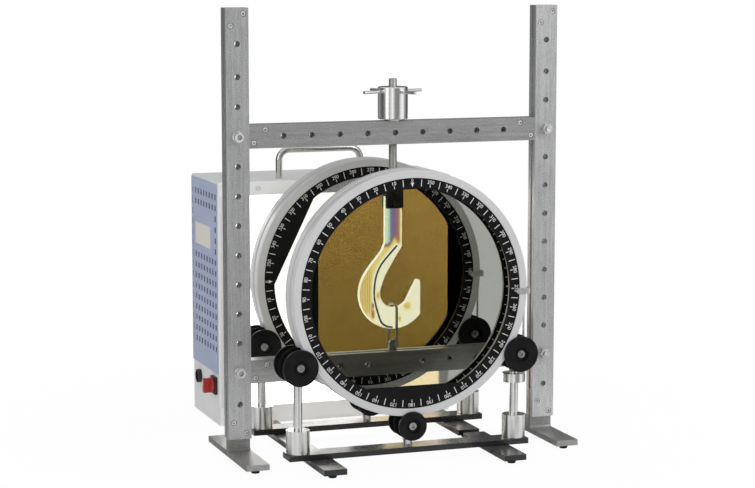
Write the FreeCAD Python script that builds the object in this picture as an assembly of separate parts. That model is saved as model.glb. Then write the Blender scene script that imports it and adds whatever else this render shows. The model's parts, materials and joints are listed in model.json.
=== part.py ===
"""Diffused-light polariscope: load frame with a hook model, two filter stands and a light box."""
import math
import os

import FreeCAD
import Part

V = FreeCAD.Vector

# Driving sizes, millimetres; X is across, Y runs from the viewer to the light box, Z is up.
TOTAL_H = 768.0
TOTAL_W = 600.0
BAR_W = 40.0
PLATE_T = 10.0
GAP = 8.0
LOWER_BEAM_Z = 153.0
RING_R = 209.0
UNIT_X = -9.0
FRONT_UNIT_Y = -100.0
REAR_UNIT_Y = 112.0
BOX_REAR_Y = 415.0
PAD_H = 7.0

# Sizes worked out from the driving ones; the upper crossbeam sits 8 hole steps above the lower one.
UPPER_BEAM_Z = TOTAL_H - 215.0
BEAM_STEPS = 8
PITCH = (UPPER_BEAM_Z - LOWER_BEAM_Z) / BEAM_STEPS
HALF_W = TOTAL_W / 2
INNER_X = HALF_W - BAR_W
POST_X = HALF_W - BAR_W / 2
DEPTH = 2 * PLATE_T + GAP
UNIT_FOOT_L = 190.0
FRONT_Y = FRONT_UNIT_Y - UNIT_FOOT_L / 2
ORIGIN_Y = (FRONT_Y + BOX_REAR_Y) / 2
FOOT_TOP = PAD_H + PLATE_T
BAR_TOP = FOOT_TOP + PLATE_T
LOW_AXLE_R = RING_R + 17.0
RING_Z = BAR_TOP + 37.0 + LOW_AXLE_R
SIDES = (-1, 1)

# Load frame.
PLATE_BOTTOM = 38.0
END_HOLE_STEP = 55.0
HOLE_R = 5.0
SPACER_L = 54.0
FRAME_FOOT_L = 242.0
FRAME_PAD_Y = 104.0
PAD_R = 9.0
PAD_TAPER = 2.5
POST_IN_GAP = 49.0
SCREW_R = 2.5
SCREW_HEAD_R = 4.2
SCREW_SINK_R = 5.0
SCREW_HEAD_H = 4.5
SCREW_SINK_H = 5.0
TONGUE_IN_BEAM = 48.0
TONGUE_END_GAP = 2.0
WASHER_R = 10.0
WASHER_T = 2.0
NUT_R = 9.6
NUT_H = 8.0
BOLT_HEAD_R = 8.0
BOLT_HEAD_H = 9.0
BOLT_END = 14.0
SCREW_X = 11.0
SCREW_TIP = 3.0
SCREW_KEY_R = 2.3
BEAM_SCREWS = ((28.0, 11.0), (8.0, -11.0))
BEAD_W = 3.0

# Loading screw, clamp, hook and shackle.
SPINDLE_R = 6.9
SPINDLE_TOP = UPPER_BEAM_Z + 92.0
SPINDLE_BOTTOM = UPPER_BEAM_Z - 109.0
SPINDLE_TRAVEL = 5.0
FLAT_HALF = GAP / 2 - 0.05
HUB_R = 25.8
HUB_TOP = UPPER_BEAM_Z + 78.0
HUB_CHAMFER = 1.2
HUB_GROOVE_Z = 5.0
HUB_GROOVE_H = 1.5
THRUST_T = 2.6
THRUST_R = 14.0
ROD_R = 2.75
ROD_TIP = 62.0
ROD_ROOT = 12.0
ROD_Z = HUB_TOP - 8.0
ROD_ANGLE = 18.0
CLAMP_W = 30.0
CLAMP_D = 28.0
CLAMP_BOTTOM = UPPER_BEAM_Z - 130.5
CLAMP_TOP = CLAMP_BOTTOM + 52.0
HOOK_T = 10.0
HOOK_TOP = CLAMP_BOTTOM + 20.0
CLAMP_SCREW_Z = (CLAMP_BOTTOM + 8.0, CLAMP_BOTTOM + 29.0)
CLAMP_SCREW_R = 3.0
CLAMP_SCREW_HEAD_R = 5.0
CLAMP_SCREW_HEAD_H = 4.0
BOWL_LIFT = 41.0
BOWL_SHARE = 0.2
BOWL_Z = LOWER_BEAM_Z + BOWL_LIFT + BOWL_SHARE * (UPPER_BEAM_Z - LOWER_BEAM_Z)
BOWL_OUT_R = 62.5
BOWL_IN_R = 27.0
BOWL_IN_X = 2.0
BOWL_IN_Z = BOWL_Z + 1.0
WIRE_R = 2.5
LEG_OFFSET = V(4.6, -8.0, 0)
CROWN_Z = BOWL_IN_Z - BOWL_IN_R - 1.9
PIN_Z = LOWER_BEAM_Z + 29.0
EYE_R = 4.5
EYE_T = 4.0
TONGUE_W = 14.0

# Filter stands.
SIDE_AXLE_R = RING_R + 19.6
SIDE_AXLE_ANGLE = 30.0
SIDE_AXLE_X = SIDE_AXLE_R * math.cos(math.radians(SIDE_AXLE_ANGLE))
SIDE_AXLE_Z = RING_Z - SIDE_AXLE_R * math.sin(math.radians(SIDE_AXLE_ANGLE))
SOCKET_X = SIDE_AXLE_X - 2.5
SOCKET_R = 20.0
SOCKET_H = 40.0
STAND_ROD_R = 7.5
UNIT_BAR_L = 2 * SOCKET_X + 41.0
UNIT_FOOT_X = SOCKET_X - 35.5
UNIT_PAD_INSET = 18.0
SIDE_FLANGE_R = 31.0
LOW_FLANGE_R = 25.0
POST_BELOW_FLANGE = 2.5
BLADE_ABOVE_AXLE = 8.0
AXLE_R = 5.0
AXLE_HEAD_R = 6.5
AXLE_HEAD_H = 3.5
RUN_FIT = 0.05
WHEEL_CLEAR = 0.3
BLADE_T = 2.2
BLADE_W = 18.0
WHEEL_IN = 1.4
INNER_FLANGE_T = 1.2
OUTER_FLANGE_T = 5.0
RING_IN = WHEEL_IN + INNER_FLANGE_T + WHEEL_CLEAR
RING_T = 20.4
RING_OUT = RING_IN + RING_T
WHEEL_OUT = RING_OUT + WHEEL_CLEAR + OUTER_FLANGE_T
RECESS_R = 13.0
RECESS_H = 5.0
COLLAR_H = 15.0
COLLAR_BOTTOM = SIDE_AXLE_Z - SIDE_FLANGE_R - POST_BELOW_FLANGE - 2.6 - COLLAR_H
POINTER_ROD_X = RING_R + 4.2
POINTER_ROD_R = 2.0
POINTER_BEND = 4.0
POINTER_T = 1.0
POINTER_W = 9.5
POINTER_Z = RING_Z - 5.2
POINTER_TIP_X = RING_R - 21.0

# Ring cross-section, scale plate and filter disc.
LIP_R = RING_R - 13.0
SHELF_R = LIP_R - 13.0
PLATE_R = LIP_R - 0.2
WINDOW_R = SHELF_R - 5.3
CHORD = WINDOW_R - 20.7
RIM_FILLET = 1.5
SCALE_SINK = 1.5
SCALE_T = 2.0
DISC_T = 6.0
RINGS = {
    "front_ring": (FRONT_UNIT_Y, -1, -90.0),
    "front_wave_ring": (FRONT_UNIT_Y, 1, 180.0),
    "rear_wave_ring": (REAR_UNIT_Y, -1, 154.0),
    "rear_ring": (REAR_UNIT_Y, 1, 0.0),
}

# Light box.
BOX_X0 = -248.0
BOX_X1 = 197.0
BOX_Y0 = 232.0
BOX_Z0 = 7.5
BOX_Z1 = BOX_Z0 + 443.5
WALL = 3.0
FRONT_T = 5.0
FRONT_CORNER_R = 9.0
TOP_BAND = 25.0
LOW_BAND = 33.0
COVER_T = 2.0
PANEL_T = 1.5
PANEL_Y = (240.0, 415.0)
PANEL_Z = (101.0, 447.0)
SLOT_W = 9.0
SLOT_H = 10.5
SLOT_COLS = 9
SLOT_ROWS = 15
SLOT_Y0 = 249.4
SLOT_Z0 = 423.0
SLOT_STEP_Y = 19.4
SLOT_STEP_Z = 19.8
LABEL_ROWS = range(2, 6)
LABEL_Y = (282.0, 385.0)
LABEL_Z = (325.0, 365.0)
LABEL_T = 0.7
BAFFLE_T = 1.5
BAFFLE_GAP = 8.0
BOX_PAD_INSET = 25.0
BOX_PAD_R = 10.0
BOX_SCREW_INSET = 75.0
BOX_SCREW_L = 12.0
FLANGE_D = 8.0
LAMP_R = 13.0
LAMP_Y = 350.0
LAMP_COUNT = 5
LAMP_STEP = 84.0
HOLDER_W = 32.0
HOLDER_H = 26.0
LAMP_IN_HOLDER = 8.0
BALLAST = (150.0, 44.0, 40.0)
BALLAST_FRONT = 60.0
HANDLE_X = (-123.0, 33.0)
HANDLE_Y = 269.0
HANDLE_Z = 503.5
HANDLE_R = 6.0
HANDLE_BEND = 20.0
KNOB_Y = 264.0
KNOB_Z = 78.0
KNOB_R = 14.0
KNOB_PLATE = 32.0
KNOB_PLATE_T = 5.0
KNOB_OUT = 18.0
KNOB_BASE = 6.0
KNOB_GRIP_W = 9.0
KNOB_SHAFT_R = 3.5
KNOB_CLEAR = 0.4
INLET_Y = 368.0
INLET_Z = 76.0
INLET_R = 12.5
INLET_OUT = 7.0
INLET_PIN_R = 1.6
INLET_PINS = ((-4.5, -2.5), (4.5, -2.5), (0.0, 4.5))


# Basic shapes.
def block(x0, x1, y0, y1, z0, z1):
    return Part.makeBox(x1 - x0, y1 - y0, z1 - z0, V(x0, y0, z0))


def bar(cx, cy, w, d, z0, z1):
    return block(cx - w / 2, cx + w / 2, cy - d / 2, cy + d / 2, z0, z1)


def rod(r, start, direction, length):
    return Part.makeCylinder(r, length, start, direction)


def rod_x(r, x0, x1, y, z):
    return rod(r, V(x0, y, z), V(1, 0, 0), x1 - x0)


def rod_y(r, x, y0, y1, z):
    return rod(r, V(x, y0, z), V(0, 1, 0), y1 - y0)


def rod_z(r, x, y, z0, z1):
    return rod(r, V(x, y, z0), V(0, 0, 1), z1 - z0)


def fuse(shapes):
    first, rest = shapes[0], shapes[1:]
    return first.fuse(rest).removeSplitter() if rest else first


def cut(shape, tools):
    return shape.cut(tools) if tools else shape


def export(name, shapes):
    """Write one node; the pieces of a list stay separate solids."""
    solids = [solid for shape in shapes for solid in shape.Solids]
    whole = Part.makeCompound(solids) if len(solids) > 1 else solids[0]
    whole.translate(V(0, -ORIGIN_Y, 0))
    whole.exportStep("parts/" + name + ".step")


# Load frame.
def upright_holes():
    regular = [LOWER_BEAM_Z + PITCH * i for i in range(BEAM_STEPS + 3)]
    return [regular[0] - END_HOLE_STEP] + regular + [regular[-1] + END_HOLE_STEP]


def upright_screws(cx):
    """Screw places of one upright: a diagonal pair at each end."""
    left, right = cx - SCREW_X, cx + SCREW_X
    top = [(left, TOTAL_H - 30), (right, TOTAL_H - 10)]
    return top + [(left, PLATE_BOTTOM + 29), (right, PLATE_BOTTOM + 10)]


def beam_screws(z):
    """Screw places of one crossbeam: a diagonal pair at each end."""
    return [(s * (INNER_X - inset), z + dz) for s in SIDES for inset, dz in BEAM_SCREWS]


def plate_pair(x0, x1, z0, z1, holes, screws):
    """Front and rear plates with through holes and sunk screw holes."""
    half = DEPTH / 2
    front = block(x0, x1, -half, -GAP / 2, z0, z1)
    rear = block(x0, x1, GAP / 2, half, z0, z1)
    through = [rod_y(HOLE_R, x, -half, half, z) for x, z in holes]
    shanks = [rod_y(SCREW_R, x, -half, half - SCREW_TIP, z) for x, z in screws]
    sinks = [rod_y(SCREW_SINK_R, x, -half, -half + SCREW_SINK_H, z) for x, z in screws]
    return [cut(front, through + shanks + sinks), cut(rear, through + shanks)]


def sunk_screw(x, z):
    """Socket screw from the front plate's sink into the rear plate."""
    head_y = -DEPTH / 2 + SCREW_SINK_H - SCREW_HEAD_H
    head = rod_y(SCREW_HEAD_R, x, head_y, head_y + SCREW_HEAD_H, z)
    shank = rod_y(SCREW_R, x, head_y + SCREW_HEAD_H, DEPTH / 2 - SCREW_TIP, z)
    return hex_socket_y(fuse([head, shank]), x, head_y, z, SCREW_KEY_R, 2.5)


def hex_prism(r, height):
    points = [at(0, 0, r, 60 * i) for i in range(7)]
    points = [V(p.x, p.z, 0) for p in points]
    return Part.Face(Part.makePolygon(points)).extrude(V(0, 0, height))


def hex_along_y(r, x, y0, y1, z):
    prism = hex_prism(r, y1 - y0)
    prism.rotate(V(0, 0, 0), V(1, 0, 0), -90)
    prism.translate(V(x, y0, z))
    return prism


def hex_socket_y(shape, x, y, z, r, depth):
    return shape.cut(hex_along_y(r, x, y, y + depth, z))


def load_frame():
    holes = upright_holes()
    plates = []
    screws = []
    spacers = []
    posts = []
    for side in SIDES:
        cx = side * POST_X
        spots = upright_screws(cx)
        shanks = [rod_y(SCREW_R, x, -GAP, GAP, z) for x, z in spots]
        x0, x1 = cx - BAR_W / 2, cx + BAR_W / 2
        plates += plate_pair(x0, x1, PLATE_BOTTOM, TOTAL_H, [(cx, z) for z in holes], spots)
        screws += spots
        spacers.append(cut(bar(cx, 0, BAR_W, GAP, TOTAL_H - SPACER_L, TOTAL_H), shanks))
        post = bar(cx, 0, BAR_W, GAP, FOOT_TOP, PLATE_BOTTOM + POST_IN_GAP)
        foot = bar(cx, 0, BAR_W, FRAME_FOOT_L, PAD_H, FOOT_TOP)
        posts += [cut(fuse([post, weld_bead(cx)]), shanks), foot]
    for z in (UPPER_BEAM_Z, LOWER_BEAM_Z):
        spots = beam_screws(z)
        shanks = [rod_y(SCREW_R, x, -GAP, GAP, sz) for x, sz in spots]
        screws += spots
        for side in SIDES:
            ends = sorted((side * (INNER_X - TONGUE_IN_BEAM), side * (HALF_W - TONGUE_END_GAP)))
            tongue = block(ends[0], ends[1], -GAP / 2, GAP / 2, z - BAR_W / 2, z + BAR_W / 2)
            spacers.append(cut(tongue, shanks + [rod_y(HOLE_R, side * POST_X, -GAP, GAP, z)]))
    export("upright_plates", plates)
    export("spacer_blocks", spacers)
    export("foot_posts", posts)
    front_band_z = BOX_Z1 - TOP_BAND / 2
    export("plate_screws", [sunk_screw(x, z) for x, z in screws] + box_screws(front_band_z))


def weld_bead(cx):
    """Sloped weld along both sides of a foot post."""
    top_z = FOOT_TOP + BEAD_W
    bead = bar(cx, 0, BAR_W, GAP + 2 * BEAD_W, FOOT_TOP, top_z)
    middles = [(e, e.CenterOfMass) for e in bead.Edges]
    top = [e for e, c in middles if abs(c.z - top_z) < 0.01 and abs(c.x - cx) < 0.01]
    return bead.makeChamfer(0.8 * BEAD_W, top)


def crossbeams():
    holes = [PITCH * i for i in range(-4, 5)]
    for name, z in (("upper_beam_plates", UPPER_BEAM_Z), ("lower_beam_plates", LOWER_BEAM_Z)):
        spots = [(x, z) for x in holes]
        export(name, plate_pair(-INNER_X, INNER_X, z - BAR_W / 2, z + BAR_W / 2, spots, beam_screws(z)))


def bolt_left(z, under):
    """Socket-head bolt from the front of the left upright."""
    shank = rod_y(HOLE_R, -POST_X, -under, under + BOLT_END, z)
    head = rod_y(BOLT_HEAD_R, -POST_X, -under - BOLT_HEAD_H, -under, z)
    return hex_socket_y(fuse([shank, head]), -POST_X, -under - BOLT_HEAD_H, z, 4.6, 5.0)


def bolt_right(z, under):
    """Hex bolt from the rear of the right upright."""
    shank = rod_y(HOLE_R, POST_X, -under - BOLT_END, under, z)
    return fuse([shank, hex_along_y(NUT_R, POST_X, under, under + NUT_H, z)])


def beam_fasteners():
    """Bolts, nuts and washers that hold the crossbeams in the uprights, and the thrust washer."""
    face = DEPTH / 2
    under = face + WASHER_T
    pieces = []
    for z in (UPPER_BEAM_Z, LOWER_BEAM_Z):
        left, right = bolt_left(z, under), bolt_right(z, under)
        pieces.append(left)
        pieces.append(hex_along_y(NUT_R, -POST_X, under, under + NUT_H, z).cut(left))
        pieces.append(right)
        pieces.append(hex_along_y(NUT_R, POST_X, -under - NUT_H, -under, z).cut(right))
        for x, bolt in ((-POST_X, left), (POST_X, right)):
            for y0 in (-under, face):
                pieces.append(rod_y(WASHER_R, x, y0, y0 + WASHER_T, z).cut(bolt))
    z0 = UPPER_BEAM_Z + BAR_W / 2
    hole = rod_z(SPINDLE_R + 0.4, 0, 0, z0, z0 + THRUST_T)
    pieces.append(rod_z(THRUST_R, 0, 0, z0, z0 + THRUST_T).cut(hole))
    export("beam_fasteners", pieces)


def pad(x, y, r=PAD_R, h=PAD_H):
    return Part.makeCone(r - PAD_TAPER, r, h, V(x, y, 0))


def feet():
    """Foot bars of both stands, and every rubber pad."""
    bars = []
    pads = [pad(s * POST_X, t * FRAME_PAD_Y) for s in SIDES for t in SIDES]
    for unit_y in (FRONT_UNIT_Y, REAR_UNIT_Y):
        for side in SIDES:
            x = UNIT_X + side * UNIT_FOOT_X
            bars.append(bar(x, unit_y, BAR_W, UNIT_FOOT_L, PAD_H, FOOT_TOP))
            pads += [pad(x, unit_y + t * (UNIT_FOOT_L / 2 - UNIT_PAD_INSET)) for t in SIDES]
    for x in (BOX_X0 + BOX_PAD_INSET, BOX_X1 - BOX_PAD_INSET):
        ends = (BOX_Y0 + BOX_PAD_INSET, BOX_REAR_Y - BOX_PAD_INSET)
        pads += [pad(x, y, BOX_PAD_R, BOX_Z0) for y in ends]
    export("foot_bars", bars)
    export("foot_pads", pads)


# Loading screw.
def spindle():
    shaft = rod_z(SPINDLE_R, 0, 0, SPINDLE_BOTTOM, SPINDLE_TOP)
    shaft = shaft.makeChamfer(1.0, [e for e in shaft.Edges if abs(e.CenterOfMass.z - SPINDLE_TOP) < 0.01])
    z0, z1 = UPPER_BEAM_Z - BAR_W / 2 - 2, UPPER_BEAM_Z + BAR_W / 2 + SPINDLE_TRAVEL + 2
    wide = SPINDLE_R + 1
    flats = [block(-wide, wide, -wide, -FLAT_HALF, z0, z1), block(-wide, wide, FLAT_HALF, wide, z0, z1)]
    cross = rod_y(CLAMP_SCREW_R, 0, -wide, wide, CLAMP_SCREW_Z[1])
    export("spindle", [cut(shaft, flats + [cross])])


def capstan():
    z0 = UPPER_BEAM_Z + BAR_W / 2 + THRUST_T + 0.1
    hub = rod_z(HUB_R, 0, 0, z0, HUB_TOP)
    rim = [e for e in hub.Edges if isinstance(e.Curve, Part.Circle)]
    hub = hub.makeChamfer(HUB_CHAMFER, rim)
    low, high = z0 + HUB_GROOVE_Z, z0 + HUB_GROOVE_Z + HUB_GROOVE_H
    groove = rod_z(HUB_R + 1, 0, 0, low, high).cut(rod_z(HUB_R - 1, 0, 0, low, high))
    bore = rod_z(SPINDLE_R + RUN_FIT, 0, 0, z0 - 1, HUB_TOP + 1)
    rods = []
    for i in range(4):
        a = math.radians(ROD_ANGLE + 90 * i)
        out = V(math.cos(a), math.sin(a), 0)
        rods.append(rod(ROD_R, out * ROD_ROOT + V(0, 0, ROD_Z), out, ROD_TIP - ROD_ROOT))
    export("capstan_hub", [cut(hub, [groove, bore] + rods)])
    export("capstan_rods", rods)


def hook_clamp():
    body = block(-CLAMP_W / 2, CLAMP_W / 2, -CLAMP_D / 2, CLAMP_D / 2, CLAMP_BOTTOM, CLAMP_TOP)
    upright = [e for e in body.Edges if abs(e.Vertexes[0].Z - e.Vertexes[-1].Z) > 10]
    body = body.makeFillet(1.5, upright)
    slot = block(-CLAMP_W, CLAMP_W, -HOOK_T / 2, HOOK_T / 2, CLAMP_BOTTOM - 1, HOOK_TOP)
    socket = rod_z(SPINDLE_R, 0, 0, SPINDLE_BOTTOM, CLAMP_TOP + 1)
    screws = [clamp_screw(z) for z in CLAMP_SCREW_Z]
    holes = [rod_y(CLAMP_SCREW_R, 0, -CLAMP_D, CLAMP_D / 2 - 2, z) for z in CLAMP_SCREW_Z]
    export("hook_clamp", [cut(body, [slot, socket] + holes)])
    export("clamp_screws", screws)


def clamp_screw(z):
    face = -CLAMP_D / 2
    shank = rod_y(CLAMP_SCREW_R, 0, face, CLAMP_D / 2 - 2, z)
    head = rod_y(CLAMP_SCREW_HEAD_R, 0, face - CLAMP_SCREW_HEAD_H, face, z)
    return hex_socket_y(fuse([head, shank]), 0, face - CLAMP_SCREW_HEAD_H, z, 2.9, 2.5)


def at(cx, cz, r, degrees):
    a = math.radians(degrees)
    return V(cx + r * math.cos(a), 0, cz + r * math.sin(a))


def arc(cx, cz, r, start, middle, end):
    return Part.Arc(at(cx, cz, r, start), at(cx, cz, r, middle), at(cx, cz, r, end)).toShape()


def curve(points):
    spline = Part.BSplineCurve()
    spline.interpolate(points)
    return spline.toShape()


def from_bowl(x, rise):
    """Point of the hook's outline, given from the height of the bowl's middle."""
    return V(x, 0, BOWL_Z + rise)


def hook_model():
    """Clear hook: straight shank, flared neck, round bowl and a blunt tip."""
    half = CLAMP_W / 2
    left_end, right_end = from_bowl(-half, 89), from_bowl(half, 81)
    left_top, right_top = V(-half, 0, HOOK_TOP), V(half, 0, HOOK_TOP)
    bowl_start = at(0, BOWL_Z, BOWL_OUT_R, 153)
    bowl_end = at(0, BOWL_Z, BOWL_OUT_R, 322)
    tip_back, tip_top, tip_front = from_bowl(49.2, 17), from_bowl(45.6, 21), from_bowl(41.6, 18.6)
    saddle_start = at(BOWL_IN_X, BOWL_IN_Z, BOWL_IN_R, -20)
    saddle_end = at(BOWL_IN_X, BOWL_IN_Z, BOWL_IN_R, -195)
    edges = [
        Part.makeLine(left_top, left_end),
        curve([left_end, from_bowl(-21.6, 73.7), from_bowl(-36.7, 55.6), from_bowl(-50, 38), bowl_start]),
        arc(0, BOWL_Z, BOWL_OUT_R, 153, 250, 322),
        Part.makeLine(bowl_end, tip_back),
        Part.Arc(tip_back, tip_top, tip_front).toShape(),
        Part.makeLine(tip_front, saddle_start),
        arc(BOWL_IN_X, BOWL_IN_Z, BOWL_IN_R, -20, -100, -195),
        curve([saddle_end, from_bowl(-16.3, 29.5), from_bowl(-6, 47.9), from_bowl(4, 64.3), right_end]),
        Part.makeLine(right_end, right_top),
        Part.makeLine(right_top, left_top),
    ]
    plate = Part.Face(Part.Wire(edges)).extrude(V(0, HOOK_T, 0))
    plate.translate(V(0, -HOOK_T / 2, 0))
    export("hook_model", [plate.cut(rod_y(CLAMP_SCREW_R, 0, -HOOK_T, HOOK_T, CLAMP_SCREW_Z[0]))])


def shackle():
    """Wire loop over the hook, its eyes, the anchor tongue and both pins."""
    reach = LEG_OFFSET.Length
    along = V(LEG_OFFSET).normalize()
    crown_at = V(0, 0, CROWN_Z)
    path = Part.Wire([
        Part.makeLine(LEG_OFFSET + V(0, 0, PIN_Z), LEG_OFFSET + crown_at),
        Part.Arc(LEG_OFFSET + crown_at, V(0, 0, CROWN_Z + reach), crown_at - LEG_OFFSET).toShape(),
        Part.makeLine(crown_at - LEG_OFFSET, V(0, 0, PIN_Z) - LEG_OFFSET)])
    circle = Part.Wire(Part.makeCircle(WIRE_R, LEG_OFFSET + V(0, 0, PIN_Z), V(0, 0, 1)))
    wire = path.makePipeShell([circle], True, False)
    eyes = [rod(EYE_R, along * (s * reach - EYE_T / 2) + V(0, 0, PIN_Z), along, EYE_T) for s in SIDES]
    pin_half = reach + EYE_T / 2 + 2.8
    cross = rod(WIRE_R, along * -pin_half + V(0, 0, PIN_Z), along, 2 * pin_half)
    export("shackle", [cut(fuse([wire] + eyes), [cross])])
    round_z = PIN_Z + 3
    strap = bar(0, 0, TONGUE_W, GAP, LOWER_BEAM_Z - 15, round_z)
    tongue = fuse([strap, rod_y(TONGUE_W / 2, 0, -GAP / 2, GAP / 2, round_z)])
    anchor = rod_y(HOLE_R, 0, -DEPTH / 2 - 1, DEPTH / 2 + 1, LOWER_BEAM_Z)
    export("anchor_tongue", [cut(tongue, [cross, anchor])])
    export("anchor_pins", [cross, anchor])


# Filter stands.
def axle_places():
    """Axle places of one stand from its centre, with flange radius and axle circle radius."""
    places = {"low": (0.0, -LOW_AXLE_R, LOW_FLANGE_R, LOW_AXLE_R)}
    for name, side in (("left", -1), ("right", 1)):
        places[name] = (side * SIDE_AXLE_X, SIDE_AXLE_Z - RING_Z, SIDE_FLANGE_R, SIDE_AXLE_R)
    return places


def wheel(x, z, unit_y, side, flange_r, axle_r):
    """One grooved roller on its side of the stand's middle plane."""
    groove_r = axle_r - RING_R - WHEEL_CLEAR
    groove_in = WHEEL_IN + INNER_FLANGE_T
    groove_out = RING_OUT + WHEEL_CLEAR
    bore_r = AXLE_R + RUN_FIT
    profile = [(WHEEL_IN, bore_r), (WHEEL_IN, flange_r), (groove_in, flange_r), (groove_in, groove_r),
               (groove_out, groove_r), (groove_out, flange_r), (WHEEL_OUT - 0.8, flange_r),
               (WHEEL_OUT, flange_r - 0.8), (WHEEL_OUT, RECESS_R), (WHEEL_OUT - RECESS_H, RECESS_R),
               (WHEEL_OUT - RECESS_H, bore_r)]
    return turned(profile, x, z, unit_y, side)


def turned(profile, x, z, unit_y, side):
    """Solid of revolution about Y from (distance from the middle plane, radius) pairs."""
    points = [V(r, side * d, 0) for d, r in profile]
    face = Part.Face(Part.makePolygon(points + points[:1]))
    solid = face.revolve(V(0, 0, 0), V(0, 1, 0), 360)
    solid = Part.Solid(solid.Shells[0]) if not solid.Solids else solid.Solids[0]
    solid.translate(V(x, unit_y, z))
    return solid


def stand_post(x, z, axle_x, unit_y, top):
    """Round rod with a milled blade between the two rollers."""
    shaft = rod_z(STAND_ROD_R, x, unit_y, BAR_TOP, top)
    blade = bar(x, unit_y, BLADE_W, BLADE_T, top, z + BLADE_ABOVE_AXLE)
    return cut(fuse([shaft, blade]), [rod_y(AXLE_R, axle_x, unit_y - BLADE_T, unit_y + BLADE_T, z)])


def axle(x, z, unit_y):
    reach = WHEEL_OUT - RECESS_H + WHEEL_CLEAR
    pin = rod_y(AXLE_R, x, unit_y - reach, unit_y + reach, z)
    heads = [rod_y(AXLE_HEAD_R, x, unit_y - reach - AXLE_HEAD_H, unit_y - reach, z),
             rod_y(AXLE_HEAD_R, x, unit_y + reach, unit_y + reach + AXLE_HEAD_H, z)]
    return hex_socket_y(fuse([pin] + heads), x, unit_y - reach - AXLE_HEAD_H, z, 3.4, 2.5)


def filter_stands():
    bars, sockets, posts, collars, axles, pointers, rods = [], [], [], [], [], [], []
    for unit, unit_y in (("front", FRONT_UNIT_Y), ("rear", REAR_UNIT_Y)):
        bars.append(bar(UNIT_X, unit_y, UNIT_BAR_L, BAR_W, FOOT_TOP, BAR_TOP))
        for place, (dx, dz, flange_r, axle_r) in axle_places().items():
            x, z = UNIT_X + dx, RING_Z + dz
            post_x = UNIT_X + math.copysign(SOCKET_X, dx) if dx else x
            posts.append(stand_post(post_x, z, x, unit_y, z - flange_r - POST_BELOW_FLANGE))
            axles.append(axle(x, z, unit_y))
            for ring, side in (("outer" if unit == "front" else "inner", -1),
                               ("inner" if unit == "front" else "outer", 1)):
                export("_".join((unit, ring, place, "roller")), [wheel(x, z, unit_y, side, flange_r, axle_r)])
            if dx:
                socket = rod_z(SOCKET_R, post_x, unit_y, BAR_TOP, BAR_TOP + SOCKET_H)
                sockets.append(socket.cut(posts[-1]))
        x = UNIT_X + SOCKET_X
        ring = rod_z(SOCKET_R, x, unit_y, COLLAR_BOTTOM, COLLAR_BOTTOM + COLLAR_H)
        hole = rod_z(STAND_ROD_R, x, unit_y, COLLAR_BOTTOM, COLLAR_BOTTOM + COLLAR_H)
        pointer_rod, pointer_bodies = pointer(unit_y)
        rods.append(pointer_rod)
        pointers += pointer_bodies
        collars.append(cut(ring, [hole, pointer_rod]))
    export("base_bars", bars)
    export("post_sockets", sockets)
    export("roller_posts", posts)
    export("post_collars", collars)
    export("roller_axles", axles)
    export("pointers", pointers + rods)


def pointer(unit_y):
    """Thin rod, flat between the rollers, and the bent strip with an arrow tip over each ring."""
    rod_x0 = UNIT_X + POINTER_ROD_X
    z0, z1 = POINTER_Z - POINTER_W / 2, POINTER_Z + POINTER_W / 2
    upright = rod_z(POINTER_ROD_R, rod_x0, unit_y, COLLAR_BOTTOM + 4, z1)
    flat_z0 = COLLAR_BOTTOM + COLLAR_H + 1
    flat_z1 = SIDE_AXLE_Z + SIDE_FLANGE_R + 1
    flats = [block(rod_x0 - POINTER_ROD_R, rod_x0 + POINTER_ROD_R, y, y + POINTER_ROD_R, flat_z0, flat_z1)
             for y in (unit_y + BLADE_T / 2, unit_y - BLADE_T / 2 - POINTER_ROD_R)]
    upright = cut(upright, flats)
    reach = RING_OUT + 0.7 + POINTER_T
    outer_x = rod_x0 + POINTER_ROD_R
    back = block(outer_x, outer_x + POINTER_T, unit_y - reach, unit_y + reach, z0, z1)
    legs = []
    for side in SIDES:
        y0 = unit_y - reach if side < 0 else unit_y + reach - POINTER_T
        tip_x = UNIT_X + POINTER_TIP_X
        neck_x = tip_x + POINTER_W / 2
        points = [V(tip_x, y0, POINTER_Z), V(neck_x, y0, z0), V(outer_x, y0, z0), V(outer_x, y0, z1),
                  V(neck_x, y0, z1), V(tip_x, y0, POINTER_Z)]
        legs.append(Part.Face(Part.makePolygon(points)).extrude(V(0, POINTER_T, 0)))
    strip = fuse([back] + legs)
    outside = bend_edges(strip, outer_x + POINTER_T, unit_y, reach)
    strip = strip.makeFillet(POINTER_BEND, outside)
    inside = bend_edges(strip, outer_x, unit_y, reach - POINTER_T)
    return upright, [strip.makeFillet(POINTER_BEND - POINTER_T, inside)]


def bend_edges(shape, x, unit_y, reach):
    """Upright edges of the pointer strip at one distance from the stand's middle plane."""
    middles = [(e, e.CenterOfMass) for e in shape.Edges]
    return [e for e, c in middles if abs(c.x - x) < 0.01 and abs(abs(c.y - unit_y) - reach) < 0.01]


# Filter rings.
def disc(r, y0, thickness):
    return rod_y(r, UNIT_X, y0, y0 + thickness, RING_Z)


def scale_plate(y0, chord_angle):
    """Ring-shaped scale plate whose window has one straight side."""
    window = disc(WINDOW_R, y0, SCALE_T)
    beyond = block(UNIT_X + CHORD, UNIT_X + RING_R, y0, y0 + SCALE_T, RING_Z - RING_R, RING_Z + RING_R)
    beyond.rotate(V(UNIT_X, y0, RING_Z), V(0, -1, 0), chord_angle)
    return disc(PLATE_R, y0, SCALE_T).cut(window.cut(beyond))


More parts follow.
